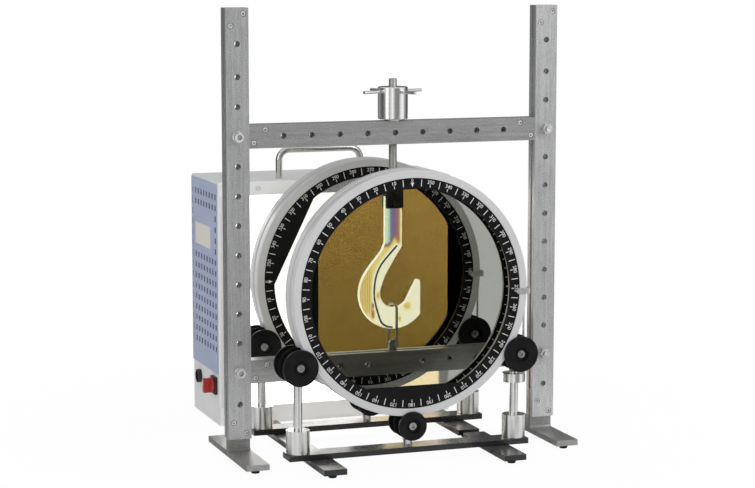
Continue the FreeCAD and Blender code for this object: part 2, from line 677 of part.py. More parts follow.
def filter_rings():
    for name, (unit_y, side, chord_angle) in RINGS.items():
        front = unit_y - RING_OUT if side < 0 else unit_y + RING_IN
        shelf = SCALE_SINK + SCALE_T + DISC_T
        ring = disc(RING_R, front, RING_T)
        rims = [e for e in ring.Edges if isinstance(e.Curve, Part.Circle)]
        ring = ring.makeFillet(RIM_FILLET, rims)
        ring = cut(ring, [disc(LIP_R, front, shelf), disc(SHELF_R, front, RING_T)])
        export(name, [ring])
        export(name + "_scale", [scale_plate(front + SCALE_SINK, chord_angle)])
        export(name + "_filter", [disc(PLATE_R, front + SCALE_SINK + SCALE_T, DISC_T)])


# Light box.
def front_corner(shape):
    edges = [e for e in shape.Edges if abs(e.Vertexes[0].Z - e.Vertexes[-1].Z) > 10
             and abs(e.CenterOfMass.y - BOX_Y0) < 0.01]
    return shape.makeFillet(min(FRONT_CORNER_R, FRONT_T - 0.2), edges)


def box_screws(z):
    """Small screws in the light box's top front band."""
    pieces = []
    for x in (BOX_X0 + BOX_SCREW_INSET, BOX_X1 - BOX_SCREW_INSET):
        head = rod_y(SCREW_HEAD_R, x, BOX_Y0 - 1, BOX_Y0, z)
        pieces.append(fuse([head, rod_y(SCREW_R, x, BOX_Y0, BOX_Y0 + BOX_SCREW_L, z)]))
    return pieces


def front_band(z0, z1):
    return front_corner(block(BOX_X0, BOX_X1, BOX_Y0, BOX_Y0 + FRONT_T, z0, z1))


def light_box():
    x0, x1, floor, roof = BOX_X0 + WALL, BOX_X1 - WALL, BOX_Z0 + WALL, BOX_Z1 - WALL
    back_y = BOX_REAR_Y - COVER_T
    front_y = BOX_Y0 + FRONT_T
    top_z, low_z = BOX_Z1 - TOP_BAND, BOX_Z0 + LOW_BAND
    shell = block(BOX_X0, BOX_X1, front_y, back_y, BOX_Z0, BOX_Z1)
    cavity = block(x0, x1, BOX_Y0 - 1, BOX_REAR_Y, floor, roof)
    bands = [front_band(top_z, BOX_Z1), front_band(BOX_Z0, low_z)]
    flange = [block(BOX_X0, BOX_X1, front_y, front_y + FLANGE_D, top_z, BOX_Z1),
              block(BOX_X0, BOX_X1, front_y, front_y + FLANGE_D, BOX_Z0, low_z)]
    vent = block(BOX_X0 - 1, x0, PANEL_Y[0] + 5, back_y - 4, PANEL_Z[0] + 6, PANEL_Z[1] - 6)
    legs = [rod_z(HANDLE_R, x, HANDLE_Y, roof, BOX_Z1) for x in HANDLE_X]
    shaft = rod_x(KNOB_SHAFT_R, BOX_X0 - 1, x0, KNOB_Y, KNOB_Z)
    inlet = rod_x(INLET_R - 2, BOX_X0 - 1, x0, INLET_Y, INLET_Z)
    front_holes = [rod_y(SCREW_R, x, BOX_Y0, front_y + FLANGE_D, BOX_Z1 - TOP_BAND / 2)
                   for x in (BOX_X0 + BOX_SCREW_INSET, BOX_X1 - BOX_SCREW_INSET)]
    housing = fuse([shell.cut(cavity)] + bands + flange)
    export("box_housing", [cut(housing, [vent, shaft, inlet] + legs + front_holes)])
    export("box_diffuser", [front_band(low_z, top_z)])
    rim = block(x0, x1, back_y - FLANGE_D, back_y, floor, roof)
    hollow = block(x0 + COVER_T, x1 - COVER_T, back_y - FLANGE_D, back_y, floor + COVER_T, roof - COVER_T)
    rim = rim.cut(hollow)
    cover = block(BOX_X0, BOX_X1, back_y, BOX_REAR_Y, BOX_Z0, BOX_Z1)
    export("box_rear_cover", [fuse([cover, rim])])
    baffle_x = x0 + BAFFLE_GAP
    baffle = block(baffle_x, baffle_x + BAFFLE_T, PANEL_Y[0] + 5, back_y - FLANGE_D, floor, roof)
    export("box_side_panel", [side_panel(), baffle])
    label_x = BOX_X0 - PANEL_T
    label = block(label_x - LABEL_T, label_x, LABEL_Y[0], LABEL_Y[1], LABEL_Z[0], LABEL_Z[1])
    export("box_label_plate", [label])
    box_inside(floor, roof)
    box_handle(roof)
    box_controls()


def side_panel():
    """Vent panel with rows of slots; the rows behind the label keep only their end slots."""
    x0 = BOX_X0 - PANEL_T
    panel = block(x0, BOX_X0, PANEL_Y[0], PANEL_Y[1], PANEL_Z[0], PANEL_Z[1])
    slots = []
    for row in range(SLOT_ROWS):
        columns = (0, SLOT_COLS - 1) if row in LABEL_ROWS else range(SLOT_COLS)
        for column in columns:
            y = SLOT_Y0 + SLOT_STEP_Y * column
            z = SLOT_Z0 - SLOT_STEP_Z * row
            slots.append(bar((x0 + BOX_X0) / 2, y, 2 * PANEL_T, SLOT_W, z - SLOT_H / 2, z + SLOT_H / 2))
    return panel.cut(slots)


def box_inside(floor, roof):
    """Upright lamp tubes between floor and roof sockets, and the ballast on the floor."""
    middle = (BOX_X0 + BOX_X1) / 2
    lamps, holders = [], []
    for i in range(LAMP_COUNT):
        x = middle + LAMP_STEP * (i - (LAMP_COUNT - 1) / 2)
        inset = HOLDER_H - LAMP_IN_HOLDER
        lamps.append(rod_z(LAMP_R, x, LAMP_Y, floor + inset, roof - inset))
        for z0, z1 in ((floor, floor + HOLDER_H), (roof - HOLDER_H, roof)):
            holders.append(bar(x, LAMP_Y, HOLDER_W, HOLDER_W, z0, z1).cut(lamps[-1]))
    export("box_lamps", lamps)
    export("box_lamp_holders", holders)
    length, width, height = BALLAST
    export("box_ballast", [bar(middle, BOX_Y0 + BALLAST_FRONT, length, width, floor, floor + height)])


def box_handle(roof):
    x0, x1 = HANDLE_X
    low = HANDLE_Z - HANDLE_BEND
    start, left_low, right_low = V(x0, HANDLE_Y, roof), V(x0, HANDLE_Y, low), V(x1, HANDLE_Y, low)
    left_top, right_top = V(x0 + HANDLE_BEND, HANDLE_Y, HANDLE_Z), V(x1 - HANDLE_BEND, HANDLE_Y, HANDLE_Z)
    path = Part.Wire([
        Part.makeLine(start, left_low),
        Part.Arc(left_low, bend_middle(x0, 1), left_top).toShape(),
        Part.makeLine(left_top, right_top),
        Part.Arc(right_top, bend_middle(x1, -1), right_low).toShape(),
        Part.makeLine(right_low, V(x1, HANDLE_Y, roof))])
    circle = Part.Wire(Part.makeCircle(HANDLE_R, start, V(0, 0, 1)))
    export("box_handle", [path.makePipeShell([circle], True, False)])


def bend_middle(x, side):
    short = HANDLE_BEND * (1 - math.sqrt(0.5))
    return V(x + side * short, HANDLE_Y, HANDLE_Z - short)


def box_controls():
    """Switch plate, turning knob and the power inlet on the left side."""
    x1 = BOX_X0
    x0 = x1 - KNOB_PLATE_T
    half = KNOB_PLATE / 2
    plate = block(x0, x1, KNOB_Y - half, KNOB_Y + half, KNOB_Z - half, KNOB_Z + half)
    plate = plate.makeFillet(2.0, [e for e in plate.Edges if e.Length < KNOB_PLATE_T + 0.1])
    export("box_switch_plate", [plate.cut(rod_x(KNOB_SHAFT_R + RUN_FIT, x0 - 1, x1 + 1, KNOB_Y, KNOB_Z))])
    top = x0 - KNOB_CLEAR
    tip, reach, side = top - KNOB_OUT, KNOB_R - 1, KNOB_GRIP_W / 2
    base = rod_x(KNOB_R, top - KNOB_BASE, top, KNOB_Y, KNOB_Z)
    grip = block(tip, top - KNOB_BASE, KNOB_Y - side, KNOB_Y + side, KNOB_Z - reach, KNOB_Z + reach)
    grip = grip.makeFillet(2.0, [e for e in grip.Edges if abs(e.CenterOfMass.x - tip) < 0.01])
    shaft = rod_x(KNOB_SHAFT_R, top, BOX_X0 - 0.5, KNOB_Y, KNOB_Z)
    export("box_switch_knob", [fuse([base, grip, shaft])])
    outer = rod_x(INLET_R, x1 - INLET_OUT, x1, INLET_Y, INLET_Z)
    well = rod_x(INLET_R - 3, x1 - INLET_OUT - 1, x1 - 1, INLET_Y, INLET_Z)
    neck = rod_x(INLET_R - 2, x1, BOX_X0 + WALL + FLANGE_D, INLET_Y, INLET_Z)
    pin_x = x1 - INLET_OUT + 1.5
    pins = [rod_x(INLET_PIN_R, pin_x, x1 - 1, INLET_Y + dy, INLET_Z + dz) for dy, dz in INLET_PINS]
    export("box_inlet", [fuse([outer.cut(well), neck] + pins)])


def main():
    os.makedirs("parts", exist_ok=True)
    load_frame()
    crossbeams()
    beam_fasteners()
    feet()
    spindle()
    capstan()
    hook_clamp()
    hook_model()
    shackle()
    filter_stands()
    filter_rings()
    light_box()


main()
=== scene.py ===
"""Polariscope: finishes, printed scales, filters, hook fringes, light and camera over the CAD model."""
import json
import math

import bmesh
import bpy
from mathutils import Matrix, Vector


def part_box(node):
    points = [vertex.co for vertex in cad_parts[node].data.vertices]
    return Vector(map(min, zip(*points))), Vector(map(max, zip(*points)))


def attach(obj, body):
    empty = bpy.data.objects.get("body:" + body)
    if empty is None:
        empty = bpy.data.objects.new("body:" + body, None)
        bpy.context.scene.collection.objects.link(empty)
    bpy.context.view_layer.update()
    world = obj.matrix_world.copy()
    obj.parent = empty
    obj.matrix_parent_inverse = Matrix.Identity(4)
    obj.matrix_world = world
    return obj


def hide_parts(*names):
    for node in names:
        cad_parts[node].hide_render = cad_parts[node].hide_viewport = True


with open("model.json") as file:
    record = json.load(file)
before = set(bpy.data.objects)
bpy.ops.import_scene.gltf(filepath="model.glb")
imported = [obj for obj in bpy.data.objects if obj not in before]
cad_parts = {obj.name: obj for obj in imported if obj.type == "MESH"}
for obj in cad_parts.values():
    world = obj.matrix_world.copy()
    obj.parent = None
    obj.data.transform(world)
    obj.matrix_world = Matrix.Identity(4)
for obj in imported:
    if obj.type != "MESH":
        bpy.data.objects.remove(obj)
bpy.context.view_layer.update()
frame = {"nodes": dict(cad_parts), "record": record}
NODES = frame["nodes"]
BODY = {n: b for b, members in frame["record"]["behaviour"]["bodies"].items() for n in members}

# Places shared with the CAD, in millimetres from the middle of the load frame.
ORIGIN_Y = 110.0
HOOK_TOP_Z = 442.5
BOWL_Z = 274.0
BOWL_OUT_R = 62.5
BOWL_IN_R = 27.0
HOOK_T = 10.0
BOX_X0 = -248.0


def place(x, y, z):
    return Vector((x, y - ORIGIN_Y, z)) * 0.001


# Node helpers.
def node(tree, kind, settings=None, **inputs):
    """Add a shader node; a socket given as an input is linked, anything else is set on the socket."""
    made = tree.nodes.new("ShaderNode" + kind)
    for name, value in (settings or {}).items():
        setattr(made, name, value)
    for name, value in inputs.items():
        socket = made.inputs[int(name[1:])] if name[0] == "_" else made.inputs[name.replace("_", " ")]
        if isinstance(value, bpy.types.NodeSocket):
            tree.links.new(value, socket)
        else:
            socket.default_value = value
    return made


def maths(tree, operation, a, b=0.0, c=0.0):
    return node(tree, "Math", {"operation": operation}, _0=a, _1=b, _2=c).outputs[0]


def grey(value):
    return (value, value, value, 1.0)


def tone(colour, factor):
    return tuple(min(1.0, c * factor) for c in colour[:3]) + (1.0,)


def ramp(tree, fac, stops, smooth=False):
    made = node(tree, "ValToRGB", Fac=fac)
    made.color_ramp.interpolation = "EASE" if smooth else "LINEAR"
    elements = made.color_ramp.elements
    while len(elements) < len(stops):
        elements.new(0.5)
    for element, (position, colour) in zip(elements, stops):
        element.position = position
        element.color = grey(colour) if isinstance(colour, float) else tuple(colour[:3]) + (1.0,)
    return made.outputs["Color"]


def remap(tree, value, low, high, new_low, new_high):
    made = node(tree, "MapRange", _0=value, _1=low, _2=high, _3=new_low, _4=new_high)
    return made.outputs[0]


def coordinates(tree, scale=(1, 1, 1), turn=(0, 0, 0)):
    source = node(tree, "TexCoord").outputs["Object"]
    return node(tree, "Mapping", Vector=source, Scale=scale, Rotation=turn).outputs[0]


def along_axis(tree, axis):
    """The piece's own coordinate along one axis, in metres."""
    return node(tree, "SeparateXYZ", Vector=coordinates(tree)).outputs[axis]


def facing(tree, axis):
    """How far a face looks along one axis of the scene, from -1 to 1."""
    return node(tree, "SeparateXYZ", Vector=node(tree, "NewGeometry").outputs["Normal"]).outputs[axis]


def noise(tree, vector, scale, detail=3.0, rough=0.55):
    return node(tree, "TexNoise", Vector=vector, Scale=scale, Detail=detail, Roughness=rough).outputs[0]


def bump(tree, height, strength, distance):
    return node(tree, "Bump", Height=height, Strength=strength, Distance=distance).outputs[0]


def colour_mix(tree, share, first, second):
    return node(tree, "Mix", {"data_type": "RGBA"}, _0=share, _6=first, _7=second).outputs[2]


def shader_mix(tree, share, first, second):
    return node(tree, "MixShader", _0=share, _1=first, _2=second).outputs[0]


def attribute(tree, name):
    return node(tree, "Attribute", {"attribute_name": name}).outputs["Fac"]


def material(name):
    made = bpy.data.materials.new(name)
    made.use_nodes = True
    made.node_tree.nodes.clear()
    return made, made.node_tree


def finish(tree, shader):
    node(tree, "OutputMaterial", Surface=shader)


def principled(tree, **inputs):
    return node(tree, "BsdfPrincipled", **inputs).outputs[0]


# Metals. Scales are in cells for each metre, bump depths in metres.
STREAK_SCALE, STREAK_ALONG = 1100.0, 40.0
BAND_SCALE, BAND_ALONG = 170.0, 4.0
# Painted shade: factors for the darker colour of faces that look sideways.
SIDE_PAINTED_SHADES = (0.48, 0.69)
SAWN_ROUGHER = 0.12
# Painted light: half the width, in metres, over which the uprights are painted brighter towards the right.
PAINTED_LIGHT_HALF_W = 0.1
TOOL_RING_SCALE, TOOL_RING_AROUND = 1500.0, 30.0
UPRIGHT_STRETCH = 0.85
THREAD_PITCH = 0.00175
GRAIN_DEPTH = 0.00001
DENT_DEPTH = 0.00002
THREAD_DEPTH = 0.0003


def brushed(name, colour, along, rough=(0.3, 0.42), painted_light_gain=0.0, metal=0.85):
    """Rolled bar with a mill finish: streaks along one axis, mottled grain, and rougher side faces painted
    darker as shade.

    Painted light: a gain above one paints the piece's right end brighter than its left by that factor.
    """
    made, tree = material(name)
    fine = [STREAK_SCALE] * 3
    broad = [BAND_SCALE] * 3
    fine[along], broad[along] = STREAK_ALONG, BAND_ALONG
    streak = noise(tree, coordinates(tree, fine), 1.0, 2.0)
    band = noise(tree, coordinates(tree, broad), 1.0, 3.0)
    mottle = noise(tree, coordinates(tree), 420.0, 3.0, 0.65)
    cloud = noise(tree, coordinates(tree), 14.0, 4.0)
    lines = maths(tree, "MULTIPLY_ADD", band, 0.45, maths(tree, "MULTIPLY", streak, 0.55))
    mixed = maths(tree, "MULTIPLY_ADD", mottle, 0.5, maths(tree, "MULTIPLY", lines, 0.5))
    rolled = ramp(tree, mixed, [(0.36, tone(colour, 0.72)), (0.5, colour), (0.64, tone(colour, 1.28))])
    # Painted shade: faces looking sideways get a darker copy of the colour.
    side_painted_shade = ramp(tree, mixed, [(0.36, tone(colour, SIDE_PAINTED_SHADES[0])), (0.64, tone(colour, SIDE_PAINTED_SHADES[1]))])
    sideways = remap(tree, maths(tree, "ABSOLUTE", facing(tree, "X")), 0.6, 0.9, 0.0, 1.0)
    shade = colour_mix(tree, sideways, rolled, side_painted_shade)
    # Painted light: the colour is scaled up from the left end to the right end.
    if painted_light_gain:
        right = remap(tree, along_axis(tree, "X"), -PAINTED_LIGHT_HALF_W, PAINTED_LIGHT_HALF_W, 1.0, painted_light_gain)
        bright = node(tree, "CombineColor", _0=right, _1=right, _2=right).outputs[0]
        scaled = node(tree, "Mix", {"data_type": "RGBA", "blend_type": "MULTIPLY", "clamp_result": True},
                      _0=1.0, _6=shade, _7=bright)
        shade = scaled.outputs[2]
    uneven = maths(tree, "MULTIPLY_ADD", cloud, 0.5, maths(tree, "MULTIPLY", streak, 0.5))
    dull = remap(tree, uneven, 0.3, 0.7, rough[0], rough[1])
    roughness = maths(tree, "MULTIPLY_ADD", sideways, SAWN_ROUGHER, dull)
    finish(tree, principled(tree, Base_Color=shade, Metallic=metal, Roughness=roughness,
                            Normal=bump(tree, mixed, 0.25, GRAIN_DEPTH)))
    return made


def turned_metal(name, colour, rough=(0.16, 0.24)):
    """Machined metal with fine tool rings across an upright axis, so that reflections stretch upright."""
    made, tree = material(name)
    rings = noise(tree, coordinates(tree, (TOOL_RING_AROUND, TOOL_RING_AROUND, TOOL_RING_SCALE)), 1.0, 2.0)
    cloud = noise(tree, coordinates(tree), 40.0, 4.0)
    shade = ramp(tree, rings, [(0.3, tone(colour, 0.92)), (0.7, tone(colour, 1.04))])
    roughness = remap(tree, cloud, 0.3, 0.7, rough[0], rough[1])
    upright = node(tree, "CombineXYZ", Z=1.0).outputs[0]
    finish(tree, principled(tree, Base_Color=shade, Metallic=1.0, Roughness=roughness,
                            Anisotropic=UPRIGHT_STRETCH, Tangent=upright,
                            Normal=bump(tree, rings, 0.04, GRAIN_DEPTH)))
    return made


def threaded(name, colour):
    """Rolled thread: a turn for each pitch, with painted shade dark in the grooves, over oily patches."""
    made, tree = material(name)
    # Painted shade: the colour darkens in each groove of the thread.
    turn = maths(tree, "SINE", maths(tree, "MULTIPLY", along_axis(tree, "Z"), 2 * math.pi / THREAD_PITCH))
    oil = noise(tree, coordinates(tree), 90.0, 3.0)
    groove_shade_and_oil = maths(tree, "MULTIPLY_ADD", turn, 0.35, oil)
    shade = ramp(tree, groove_shade_and_oil, [(0.15, tone(colour, 0.45)), (0.8, colour)])
    finish(tree, principled(tree, Base_Color=shade, Metallic=0.9, Roughness=0.34,
                            Normal=bump(tree, turn, 0.5, THREAD_DEPTH)))
    return made


def faced_metal(name, colour, rough=(0.16, 0.3), metal=1.0, stained=0.75, flank_painted_shade=1.0):
    """Screw heads, washers, wire and strips: bright metal with small dents and stains, and flanks painted
    darker as shade.
    """
    made, tree = material(name)
    grain = noise(tree, coordinates(tree), 700.0, 3.0)
    stain = noise(tree, coordinates(tree), 120.0, 3.0)
    shade = ramp(tree, stain, [(0.3, tone(colour, stained)), (0.65, colour)])
    # Painted shade: faces that look neither forward nor back get a darker copy of the colour.
    if flank_painted_shade < 1.0:
        flank_shade_mask = remap(tree, maths(tree, "ABSOLUTE", facing(tree, "Y")), 0.75, 0.95, 1.0, 0.0)
        shade = colour_mix(tree, flank_shade_mask, shade, tone(colour, flank_painted_shade))
    roughness = remap(tree, grain, 0.3, 0.7, rough[0], rough[1])
    normal = bump(tree, grain, 0.2, DENT_DEPTH)
    finish(tree, principled(tree, Base_Color=shade, Metallic=metal, Roughness=roughness, Normal=normal))
    return made


# Coatings and plastics.
DUST_GREY = 0.45
# Pale grey mixed into the top faces of the black bars.
BAR_TOP_PALE = (0.5, 0.49, 0.47, 1.0)
PLASTIC_RING_TURNS = 9000.0


def coated(name, colour, rough, grain, depth, cloudy, speck=0.0, coat=0.0, front=None, gleam=0.5):
    """Painted or anodised surface: fine grain, slight clouding and a few specks of dust.

    Painted light: the front factor paints the faces towards the viewer paler, for the bands round the lit
    sheet.
    """
    made, tree = material(name)
    fine = noise(tree, coordinates(tree), grain, 2.0)
    cloud = noise(tree, coordinates(tree), 14.0, 5.0, 0.6)
    shade = ramp(tree, cloud, [(0.3, tone(colour, 1.0 - cloudy)), (0.7, tone(colour, 1.0 + cloudy))])
    if speck:
        dust = noise(tree, coordinates(tree), 420.0, 2.0, 0.7)
        spots = remap(tree, dust, 0.66, 0.74, 0.0, speck)
        shade = colour_mix(tree, spots, shade, grey(DUST_GREY))
    if front:
        # Painted light: faces towards the viewer get a paler copy of the colour.
        front_painted_light = remap(tree, facing(tree, "Y"), -0.9, -0.6, 1.0, 0.0)
        shade = colour_mix(tree, front_painted_light, shade, tone(colour, front))
    uneven = maths(tree, "MULTIPLY_ADD", cloud, 0.6, maths(tree, "MULTIPLY", fine, 0.4))
    roughness = remap(tree, uneven, 0.35, 0.65, rough[0], rough[1])
    finish(tree, principled(tree, Base_Color=shade, Roughness=roughness, Normal=bump(tree, fine, 0.3, depth),
                            Coat_Weight=coat, Coat_Roughness=0.12, Specular_IOR_Level=gleam))
    return made


def black_bar(name):
    """Black lacquered flat bar: glossy, with drawn lines along its length and top faces paler in patches."""
    made, tree = material(name)
    drawn = noise(tree, coordinates(tree, (9.0, 260.0, 260.0)), 1.0, 3.0)
    dust = noise(tree, coordinates(tree), 300.0, 3.0, 0.7)
    cloud = noise(tree, coordinates(tree), 16.0, 4.0)
    top = remap(tree, facing(tree, "Z"), 0.6, 0.95, 0.0, 1.0)
    # Top faces are made paler in patches by mixing in a pale grey.
    top_pale_share = maths(tree, "MULTIPLY", top, remap(tree, dust, 0.35, 0.75, 0.03, 0.16))
    base = ramp(tree, drawn, [(0.3, (0.008, 0.008, 0.009)), (0.7, (0.018, 0.018, 0.019))])
    top_paled = colour_mix(tree, top_pale_share, base, BAR_TOP_PALE)
    roughness = remap(tree, cloud, 0.3, 0.7, 0.2, 0.34)
    normal = bump(tree, drawn, 0.15, DENT_DEPTH)
    finish(tree, principled(tree, Base_Color=top_paled, Roughness=roughness, Normal=normal,
                            Specular_IOR_Level=0.6))
    return made


def turned_plastic(name):
    """Black turned plastic: tool rings round the piece's own axis and a dull bloom."""
    made, tree = material(name)
    split = node(tree, "SeparateXYZ", Vector=coordinates(tree))
    x, z = split.outputs["X"], split.outputs["Z"]
    radius = maths(tree, "SQRT", maths(tree, "MULTIPLY_ADD", x, x, maths(tree, "MULTIPLY", z, z)))
    tool = maths(tree, "SINE", maths(tree, "MULTIPLY", radius, PLASTIC_RING_TURNS))
    haze = noise(tree, coordinates(tree), 60.0, 4.0)
    shade = ramp(tree, haze, [(0.3, (0.003, 0.003, 0.004)), (0.7, (0.007, 0.007, 0.008))])
    roughness = remap(tree, haze, 0.3, 0.7, 0.36, 0.5)
    normal = bump(tree, tool, 0.12, DENT_DEPTH)
    finish(tree, principled(tree, Base_Color=shade, Roughness=roughness, Normal=normal,
                            Specular_IOR_Level=0.22))
    return made


def printed(name, colour):
    """Screen-printed ink with thin spots."""
    made, tree = material(name)
    wear = noise(tree, coordinates(tree), 900.0, 3.0, 0.7)
    shade = ramp(tree, wear, [(0.36, tone(colour, 0.45)), (0.46, tone(colour, 0.9)), (0.7, colour)])
    finish(tree, principled(tree, Base_Color=shade, Roughness=0.55))
    return made


# Filters. A pass is the share of light left by both filters of one stand, which have four faces together.
FRONT_PASS = 0.35
REAR_PASS = 0.39
FILTER_TINGE = (0.995, 1.0, 0.985)
# Lighting and reflections pass more easily than the view does, so that what stands behind is not lost.
OTHER_RAYS = (0.87, 0.86, 0.81, 1.0)
CROSSED_TOP = (0.646, 0.400, 0.104)
CROSSED_LOW = (0.400, 0.251, 0.055)
CROSSED_LOW_Z, CROSSED_TOP_Z = -0.12, 0.17
# Clear faces that a ray has already crossed: more than the first number is behind both filters of a stand,
# less than the second is the face nearest to the viewer.
BEHIND_ANALYSER = 3.5
FIRST_FACE = 0.5
WIPE_SLANT = math.radians(38)
SCRATCH_SLANT = math.radians(32)
MARK_COLOUR = (0.8, 0.79, 0.74, 1.0)
MARK_SHARE = 0.06
HEAD_ON_GLOSS = 0.05


def filter_glass(name, passes, crossed):
    """Grey polarising sheet on glass.

    A sheet that light meets after both filters of the other stand is crossed with them, and then shows gold.
    """
    made, tree = material(name)
    sheet_face = passes ** 0.25
    tint = tuple(sheet_face * tinge for tinge in FILTER_TINGE) + (1.0,)
    depth = node(tree, "LightPath").outputs["Transparent Depth"]
    if crossed:
        after = maths(tree, "GREATER_THAN", depth, BEHIND_ANALYSER)
        patch = noise(tree, coordinates(tree, (2.0, 2.0, 1.0)), 3.0, 2.0)
        level = maths(tree, "MULTIPLY_ADD", patch, 0.08, along_axis(tree, "Z"))
        height = remap(tree, level, CROSSED_LOW_Z, CROSSED_TOP_Z, 0.0, 1.0)
        low = tuple(sheet_face * math.sqrt(c) for c in CROSSED_LOW)
        top = tuple(sheet_face * math.sqrt(c) for c in CROSSED_TOP)
        tint = colour_mix(tree, after, tint, ramp(tree, height, [(0.0, low), (1.0, top)], True))
    direct = node(tree, "LightPath").outputs["Is Camera Ray"]
    clear = node(tree, "BsdfTransparent", Color=colour_mix(tree, direct, OTHER_RAYS, tint))
    wiped = noise(tree, coordinates(tree, (30.0, 30.0, 3.0), (0.0, WIPE_SLANT, 0.0)), 1.0, 3.0, 0.7)
    lines = noise(tree, coordinates(tree, (260.0, 260.0, 2.5), (0.0, SCRATCH_SLANT, 0.0)), 1.0, 2.0)
    scratches = maths(tree, "MULTIPLY", remap(tree, wiped, 0.52, 0.7, 0.0, 1.0),
                      remap(tree, lines, 0.66, 0.74, 0.0, 1.0))
    dust = remap(tree, noise(tree, coordinates(tree), 240.0, 2.0), 0.77, 0.8, 0.0, 1.0)
    marks = maths(tree, "MAXIMUM", scratches, dust)
    nearest = maths(tree, "LESS_THAN", depth, FIRST_FACE)
    share = maths(tree, "MULTIPLY", marks, maths(tree, "MULTIPLY", nearest, MARK_SHARE))
    dull = node(tree, "BsdfDiffuse", Color=MARK_COLOUR)
    body = shader_mix(tree, share, clear.outputs[0], dull.outputs[0])
    gloss = node(tree, "BsdfGlossy", Color=grey(1.0), Roughness=0.03)
    slant = remap(tree, node(tree, "Fresnel", IOR=1.45).outputs[0], HEAD_ON_GLOSS, 1.0, 0.0, 1.0)
    finish(tree, shader_mix(tree, maths(tree, "MULTIPLY", slant, nearest), body, gloss.outputs[0]))
    return made


# Lit sheet, with places from its own centre in metres.
LIGHT = 2.6
TUBE_PITCH = 0.084
UNLIT_LEFT_X = (-0.209, -0.207)
WEAK_LOW_Z = (-0.11, -0.09)
DARK_RIGHT_X = (0.1985, 0.2035)
WARM_RIGHT_X = (0.02, 0.10)
WHITE_GLOW = (1.0, 0.985, 0.96, 1.0)
WARM_GLOW = (0.78, 0.62, 0.33, 1.0)


def opal_sheet(name):
    """Lit opal sheet: unlit along its left edge, and weak and warm in its lower right corner."""
    made, tree = material(name)
    across = along_axis(tree, "X")
    tubes = maths(tree, "COSINE", maths(tree, "MULTIPLY", across, 2 * math.pi / TUBE_PITCH))
    cloud = noise(tree, coordinates(tree), 6.0, 3.0)
    even = remap(tree, cloud, 0.3, 0.7, 0.94 * LIGHT, 1.04 * LIGHT)
    lit = remap(tree, facing(tree, "Y"), -0.98, -0.9, 1.0, 0.0)
    left = remap(tree, across, *UNLIT_LEFT_X, 0.0, 1.0)
    low = remap(tree, along_axis(tree, "Z"), *WEAK_LOW_Z, 1.0, 0.0)
    corner = maths(tree, "MULTIPLY", low, remap(tree, across, *DARK_RIGHT_X, 0.0, 1.0))
    kept = maths(tree, "MULTIPLY", left, maths(tree, "SUBTRACT", 1.0, corner))
    level = maths(tree, "MULTIPLY", maths(tree, "MULTIPLY_ADD", tubes, 0.04, even), lit)
    level = maths(tree, "MULTIPLY", level, kept)
    warm = maths(tree, "MULTIPLY", low, remap(tree, across, *WARM_RIGHT_X, 0.0, 1.0))
    glow = colour_mix(tree, warm, WHITE_GLOW, WARM_GLOW)
    grain = noise(tree, coordinates(tree), 900.0, 2.0)
    finish(tree, principled(tree, Base_Color=ramp(tree, cloud, [(0.0, 0.78), (1.0, 0.84)]), Roughness=0.4,
                            Normal=bump(tree, grain, 0.2, GRAIN_DEPTH), Emission_Color=glow,
                            Emission_Strength=level))
    return made


# Interference colours of the hook by their order.
FRINGE = [
    (0.00, (0.018, 0.018, 0.010)), (0.10, (0.05, 0.05, 0.03)), (0.22, (0.55, 0.54, 0.40)),
    (0.32, (0.90, 0.89, 0.74)), (0.45, (0.94, 0.88, 0.55)), (0.58, (0.80, 0.64, 0.22)),
    (0.72, (0.55, 0.33, 0.09)), (0.86, (0.38, 0.19, 0.16)), (0.98, (0.21, 0.14, 0.25)),
    (1.10, (0.20, 0.26, 0.34)), (1.22, (0.34, 0.55, 0.44)), (1.38, (0.60, 0.80, 0.56)),
    (1.55, (0.88, 0.88, 0.62)),
]
FRINGE_END = 1.6
# Painted light: glow levels of the hook, seen directly and behind the analyser.
DIRECT_PAINTED_GLOW = 0.95
ANALYSED_PAINTED_GLOW = 2.45
RIPPLE = 0.03
BAND_PITCH = 0.0032
BAND_GOLD = (0.42, 0.22, 0.04, 1.0)


def stressed_clear(name):
    """Clear resin under load between filters, painted as a glow that stands for the light from behind:
    colours by stress, brighter behind the analyser.
    """
    made, tree = material(name)
    ripple = noise(tree, coordinates(tree), 160.0, 3.0)
    stress = maths(tree, "SUBTRACT", attribute(tree, "stress"), RIPPLE / 2)
    order = maths(tree, "MULTIPLY_ADD", ripple, RIPPLE, stress)
    stops = [(position / FRINGE_END, colour) for position, colour in FRINGE]
    colour = ramp(tree, maths(tree, "DIVIDE", order, FRINGE_END), stops)
    waver = maths(tree, "MULTIPLY", ripple, 1.5)
    wave = maths(tree, "MULTIPLY_ADD", along_axis(tree, "X"), 2 * math.pi / BAND_PITCH, waver)
    lines = remap(tree, maths(tree, "SINE", wave), 0.0, 0.9, 0.0, 0.95)
    colour = colour_mix(tree, maths(tree, "MULTIPLY", lines, attribute(tree, "banding")), colour, BAND_GOLD)
    # Painted light: the hook glows, more strongly behind the analyser.
    depth = node(tree, "LightPath").outputs["Transparent Depth"]
    behind = maths(tree, "GREATER_THAN", depth, BEHIND_ANALYSER)
    level = maths(tree, "MULTIPLY_ADD", behind, ANALYSED_PAINTED_GLOW - DIRECT_PAINTED_GLOW, DIRECT_PAINTED_GLOW)
    grain = noise(tree, coordinates(tree), 500.0, 2.0)
    finish(tree, principled(tree, Base_Color=grey(0.02), Roughness=0.12,
                            Normal=bump(tree, grain, 0.05, GRAIN_DEPTH), Emission_Color=colour,
                            Emission_Strength=level))
    return made


# Geometry helpers. Lengths in metres.
MERGE_GAP = 2e-6
FLAT_ANGLE = math.radians(0.4)
SMOOTH_ANGLE = math.radians(35)
EDGE_ANGLE = math.radians(40)
EDGE_SEGMENTS = 2


def link(name, mesh):
    made = bpy.data.objects.new(name, mesh)
    bpy.context.scene.collection.objects.link(made)
    return made


def settle(piece, body, slot, *replaced):
    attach(piece, body)
    if replaced:
        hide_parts(*replaced)
    return piece


